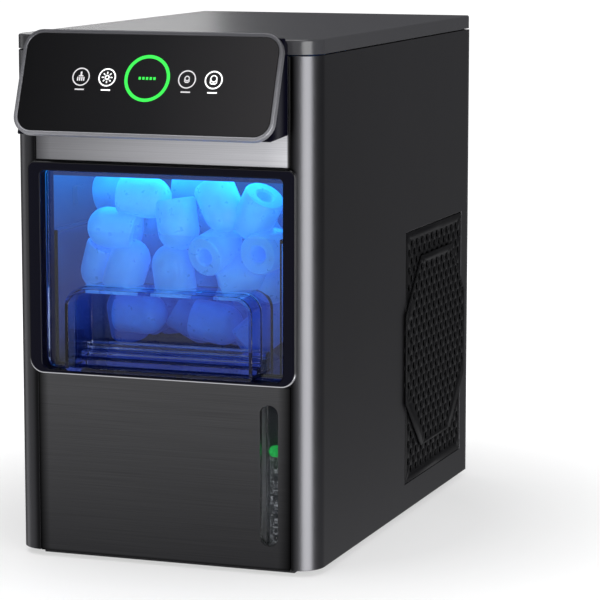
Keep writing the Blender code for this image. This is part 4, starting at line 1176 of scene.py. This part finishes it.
def iceLoad():
    # one bullet, copied to every spot of the load
    single = bmesh.new()
    bullet(single)
    bmesh.ops.remove_doubles(single, verts=single.verts, dist=0.00005)
    faceOut(single)
    data = bpy.data.meshes.new("bullet")
    single.to_mesh(data)
    single.free()
    shape = bmesh.new()
    for centre, turn in iceSpots:
        before = len(shape.verts)
        shape.from_mesh(data)
        shape.verts.ensure_lookup_table()
        fresh = shape.verts[before:]
        spin = Matrix.Rotation(math.radians(turn[0]), 4, "X")
        spin = spin @ Matrix.Rotation(math.radians(turn[1]), 4, "Y")
        bmesh.ops.transform(shape, matrix=Matrix.Translation(centre) @ spin, verts=fresh)
    bpy.data.meshes.remove(data)
    addPiece("iceBullets", shape, iceGlow, "drawer", (), False)


# centre in metres, then the turn about X and Y in degrees from standing on the flat end
iceSpots = [
    ((-0.050, -0.100, 0.238), (10, 80)), ((-0.022, -0.128, 0.2380), (15, 95)),
    ((0.006, -0.100, 0.2415), (0, 90)), ((0.031, -0.128, 0.2335), (160, 30)),
    ((0.054, -0.128, 0.229), (20, -150)), ((0.001, -0.130, 0.221), (175, 10)),
    ((-0.045, -0.130, 0.217), (10, -80)), ((0.020, -0.104, 0.228), (60, 30)),
    ((0.029, -0.128, 0.207), (-75, 15)), ((0.0630, -0.124, 0.207), (-85, 10)),
    ((-0.034, -0.130, 0.194), (-8, 16)), ((-0.058, -0.118, 0.190), (15, 200)),
    ((-0.002, -0.131, 0.192), (-5, -10)), ((0.044, -0.124, 0.190), (-60, 60)),
    ((0.0575, -0.112, 0.186), (-30, 150)), ((-0.034, -0.108, 0.158), (5, 92)),
    ((0.020, -0.108, 0.154), (10, 100)), ((0.050, -0.105, 0.150), (-40, 40)),
]


def addHeap():
    # the load behind the front bullets: a loose grid whose bullets wander and turn
    first, pitch, wander = ice["first"], ice["pitch"], ice["wander"]
    for row in range(ice["rows"]):
        for column in range(ice["columns"]):
            for level in range(ice["levels"]):
                x = first[0] + pitch[0] * column + wander[0] * math.sin(3.1 * row + 1.7 * level)
                y = first[1] + pitch[1] * row + wander[1] * math.sin(2.3 * column + level)
                z = first[2] + pitch[2] * level + wander[2] * math.sin(1.9 * column + 2.7 * row)
                turn = (47 * (row + 2 * level) + 20, 61 * column + 35 * level)
                iceSpots.append(((x, y, z), turn))


addHeap()
iceLoad()
print("drawer and ice done")

sight = {
    "edge": 0.0012,
    "liningRadius": 0.0042,
    "liningHeights": (0.0175, 0.0765),
    "liningWall": 0.0001,
    "speckDark": (0.25, 0.26, 0.27),
    # painted glints on the bubbles
    "bubbleGlint": (4.5, 4.6, 4.6),
}


def waterMaterial():
    # water with fine bubbles, their brightness a painted glint over a faint painted glow
    paint = newPaint("sightWater", (0.30, 0.31, 0.32), 0.2, 0.0, Emission_Strength=0.10)
    stops = [(0.54, sight["speckDark"]), (0.64, sight["bubbleGlint"])]
    specks = colourRamp(paint, grain(paint, 900, 2.0), stops)
    link(paint, specks, shaderOf(paint).inputs["Emission Color"])
    tint(paint, grain(paint, 400), 0.8, 1.3)
    return paint


def sightWindow():
    # the clear cover of the slot, and the speckled lining behind the float up to the water line
    low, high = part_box("sight_window")
    cover = plate((low.x, low.z), (high.x, high.z), ((high.x - low.x) / 2 - 0.0001,) * 2, 12)
    thicken(cover, high.y - low.y)
    standUp(cover, low.y)
    roundEdges(cover, sharpEdges(cover, 60), sight["edge"], 3)
    addPiece("sightCover", cover, lensClear, "cabinet", ("sight_window",))
    tubeLow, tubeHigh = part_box("sight_tube")
    middle = (tubeLow + tubeHigh) / 2
    lining = bmesh.new()
    edgeX = middle.x + sight["liningRadius"]
    ends = [lining.verts.new((edgeX, middle.y, z)) for z in sight["liningHeights"]]
    line = lining.edges.new(ends)
    bmesh.ops.spin(lining, geom=[line, *ends], cent=middle, axis=(0, 0, 1), dvec=(0, 0, 0),
                   angle=math.pi, steps=16, use_duplicate=False)
    faceOut(lining)
    piece = addPiece("sightLining", lining, waterMaterial(), "cabinet", (), False)
    giveWall(piece, sight["liningWall"])


sightWindow()
dress(lensClear, "sight_tube")
# the float ball takes a painted glow
dress(floatGreen, "float_ball")
print("water sight done")

# outlines and places in the side's own plane: along the depth, then up
vent = {
    "opening": [(0.0316, 0.0236), (0.1654, 0.0236), (0.1654, 0.2004), (0.0316, 0.2004)],
    "field": [(0.0635, 0.0455), (0.1345, 0.0455), (0.169, 0.081), (0.169, 0.143), (0.1345, 0.181),
              (0.0635, 0.181), (0.0285, 0.143), (0.0285, 0.081)],
    "middle": (0.0985, 0.112),
    "pitchY": 0.0119,
    "pitchZ": 0.00615,
    "holeY": 0.0030,
    "holeZ": 0.0029,
    "openingMargin": 0.0045,
    "fieldMargin": 0.0038,
    "raise": 0.002,
    "rise": 0.0016,
    "thickness": 0.0014,
    "filterDepths": (0.0045, 0.0038),
    "filterY": (0.033, 0.164),
    "filterZ": (0.025, 0.199),
}


def insideOutline(point, outline, margin):
    # the outline is convex and runs anticlockwise
    for a, b in zip(outline, outline[1:] + outline[:1]):
        edge = (b[0] - a[0], b[1] - a[1])
        length = math.hypot(*edge)
        if (edge[0] * (point[1] - a[1]) - edge[1] * (point[0] - a[0])) / length < margin:
            return False
    return True


def perforated(shape, outline, x, margin):
    # a flat sheet at x with staggered holes, none nearer to its outline than the margin
    verts = [shape.verts.new((x, y, z)) for y, z in outline]
    rims = [shape.edges.new(pair) for pair in zip(verts, verts[1:] + verts[:1])]
    ys = [p[0] for p in outline]
    zs = [p[1] for p in outline]
    rows = int((max(zs) - min(zs)) / vent["pitchZ"])
    columns = int((max(ys) - min(ys)) / vent["pitchY"]) + 2
    for row in range(-rows, rows + 1):
        z = vent["middle"][1] + row * vent["pitchZ"]
        for column in range(-columns, columns + 1):
            y = vent["middle"][0] + (column + 0.5 * (row % 2)) * vent["pitchY"]
            if not insideOutline((y, z), outline, margin):
                continue
            place = Matrix.Translation((x, y, z)) @ Matrix.Rotation(math.pi / 2, 4, "Y")
            place = place @ Matrix.Diagonal((vent["holeZ"], vent["holeY"], 1, 1))
            hole = bmesh.ops.create_circle(shape, cap_ends=False, radius=1, segments=8, matrix=place)
            rims += {e for v in hole["verts"] for e in v.link_edges}
    bmesh.ops.triangle_fill(shape, use_beauty=True, use_dissolve=False, edges=rims)


def ventGrille(side, sign):
    # a perforated sheet with a raised eight-sided field, and the dust filter behind them
    low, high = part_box(f"{side}_vent_grille")
    level = max(abs(low.x), abs(high.x)) - vent["raise"]
    base = bmesh.new()
    perforated(base, vent["opening"], level, vent["openingMargin"])
    raised = bmesh.new()
    rim = [raised.verts.new((level + 0.0002, y, z)) for y, z in vent["field"]]
    border = raised.faces.new(rim)
    bmesh.ops.inset_region(raised, faces=[border], thickness=vent["rise"], depth=0, use_even_offset=True)
    inner = [(v.co.y, v.co.z) for v in border.verts]
    bmesh.ops.translate(raised, vec=(vent["raise"] - 0.0003, 0, 0), verts=border.verts)
    bmesh.ops.delete(raised, geom=[border], context="FACES_ONLY")
    if sum(a[0] * b[1] - a[1] * b[0] for a, b in zip(inner, inner[1:] + inner[:1])) < 0:
        inner.reverse()
    perforated(raised, inner, level + vent["raise"] - 0.0001, vent["fieldMargin"])
    bmesh.ops.remove_doubles(raised, verts=raised.verts, dist=0.00005)
    for name, shape in ((f"{side}VentBase", base), (f"{side}VentField", raised)):
        mirrored(shape, sign)
        faceOut(shape)
        flat = [f for f in shape.faces if abs(f.normal.x) > 0.9]
        if sum(f.normal.x * f.calc_area() for f in flat) * sign < 0:
            bmesh.ops.reverse_faces(shape, faces=shape.faces)
        piece = addPiece(name, shape, grilleBlack, "cabinet",
                         (f"{side}_vent_grille",), False)
        giveWall(piece, vent["thickness"])
    (back, front), spanY, spanZ = vent["filterDepths"], vent["filterY"], vent["filterZ"]
    dustFilter = block((level - back, spanY[0], spanZ[0]), (level - front, spanY[1], spanZ[1]))
    mirrored(dustFilter, sign)
    faceOut(dustFilter)
    addPiece(f"{side}DustFilter", dustFilter, filterBlack, "cabinet")


for side, sign in sides:
    ventGrille(side, sign)
print("vents done")

dress(rubberBlack, "foot_front_left", "foot_front_right", "foot_rear_left", "foot_rear_right", "cord_gland")
softened("drain_plug", rubberBlack, 0.0006)
dress(plainSteel, "left_hinge_leaf", "right_hinge_leaf", "left_hinge_bracket", "right_hinge_bracket",
      "left_hinge_pin", "right_hinge_pin", "tray_motor", "fan_motor")
dress(whitePlastic, "water_tank", "water_tray", "supply_hose", "drain_hose")
dress(satinBlack, "water_pump", "drain_fitting", "ice_shovel", "fan_shroud", "fan_blades")
dress(nickelPlate, "evaporator")
dress(copperTube, "discharge_line", "suction_line", "condenser_line", "liquid_line", "filter_drier")
dress(finStock, "condenser")
dress(enamelBlack, "compressor")
dress(boardGreen, "power_board")
print("inside dressed")
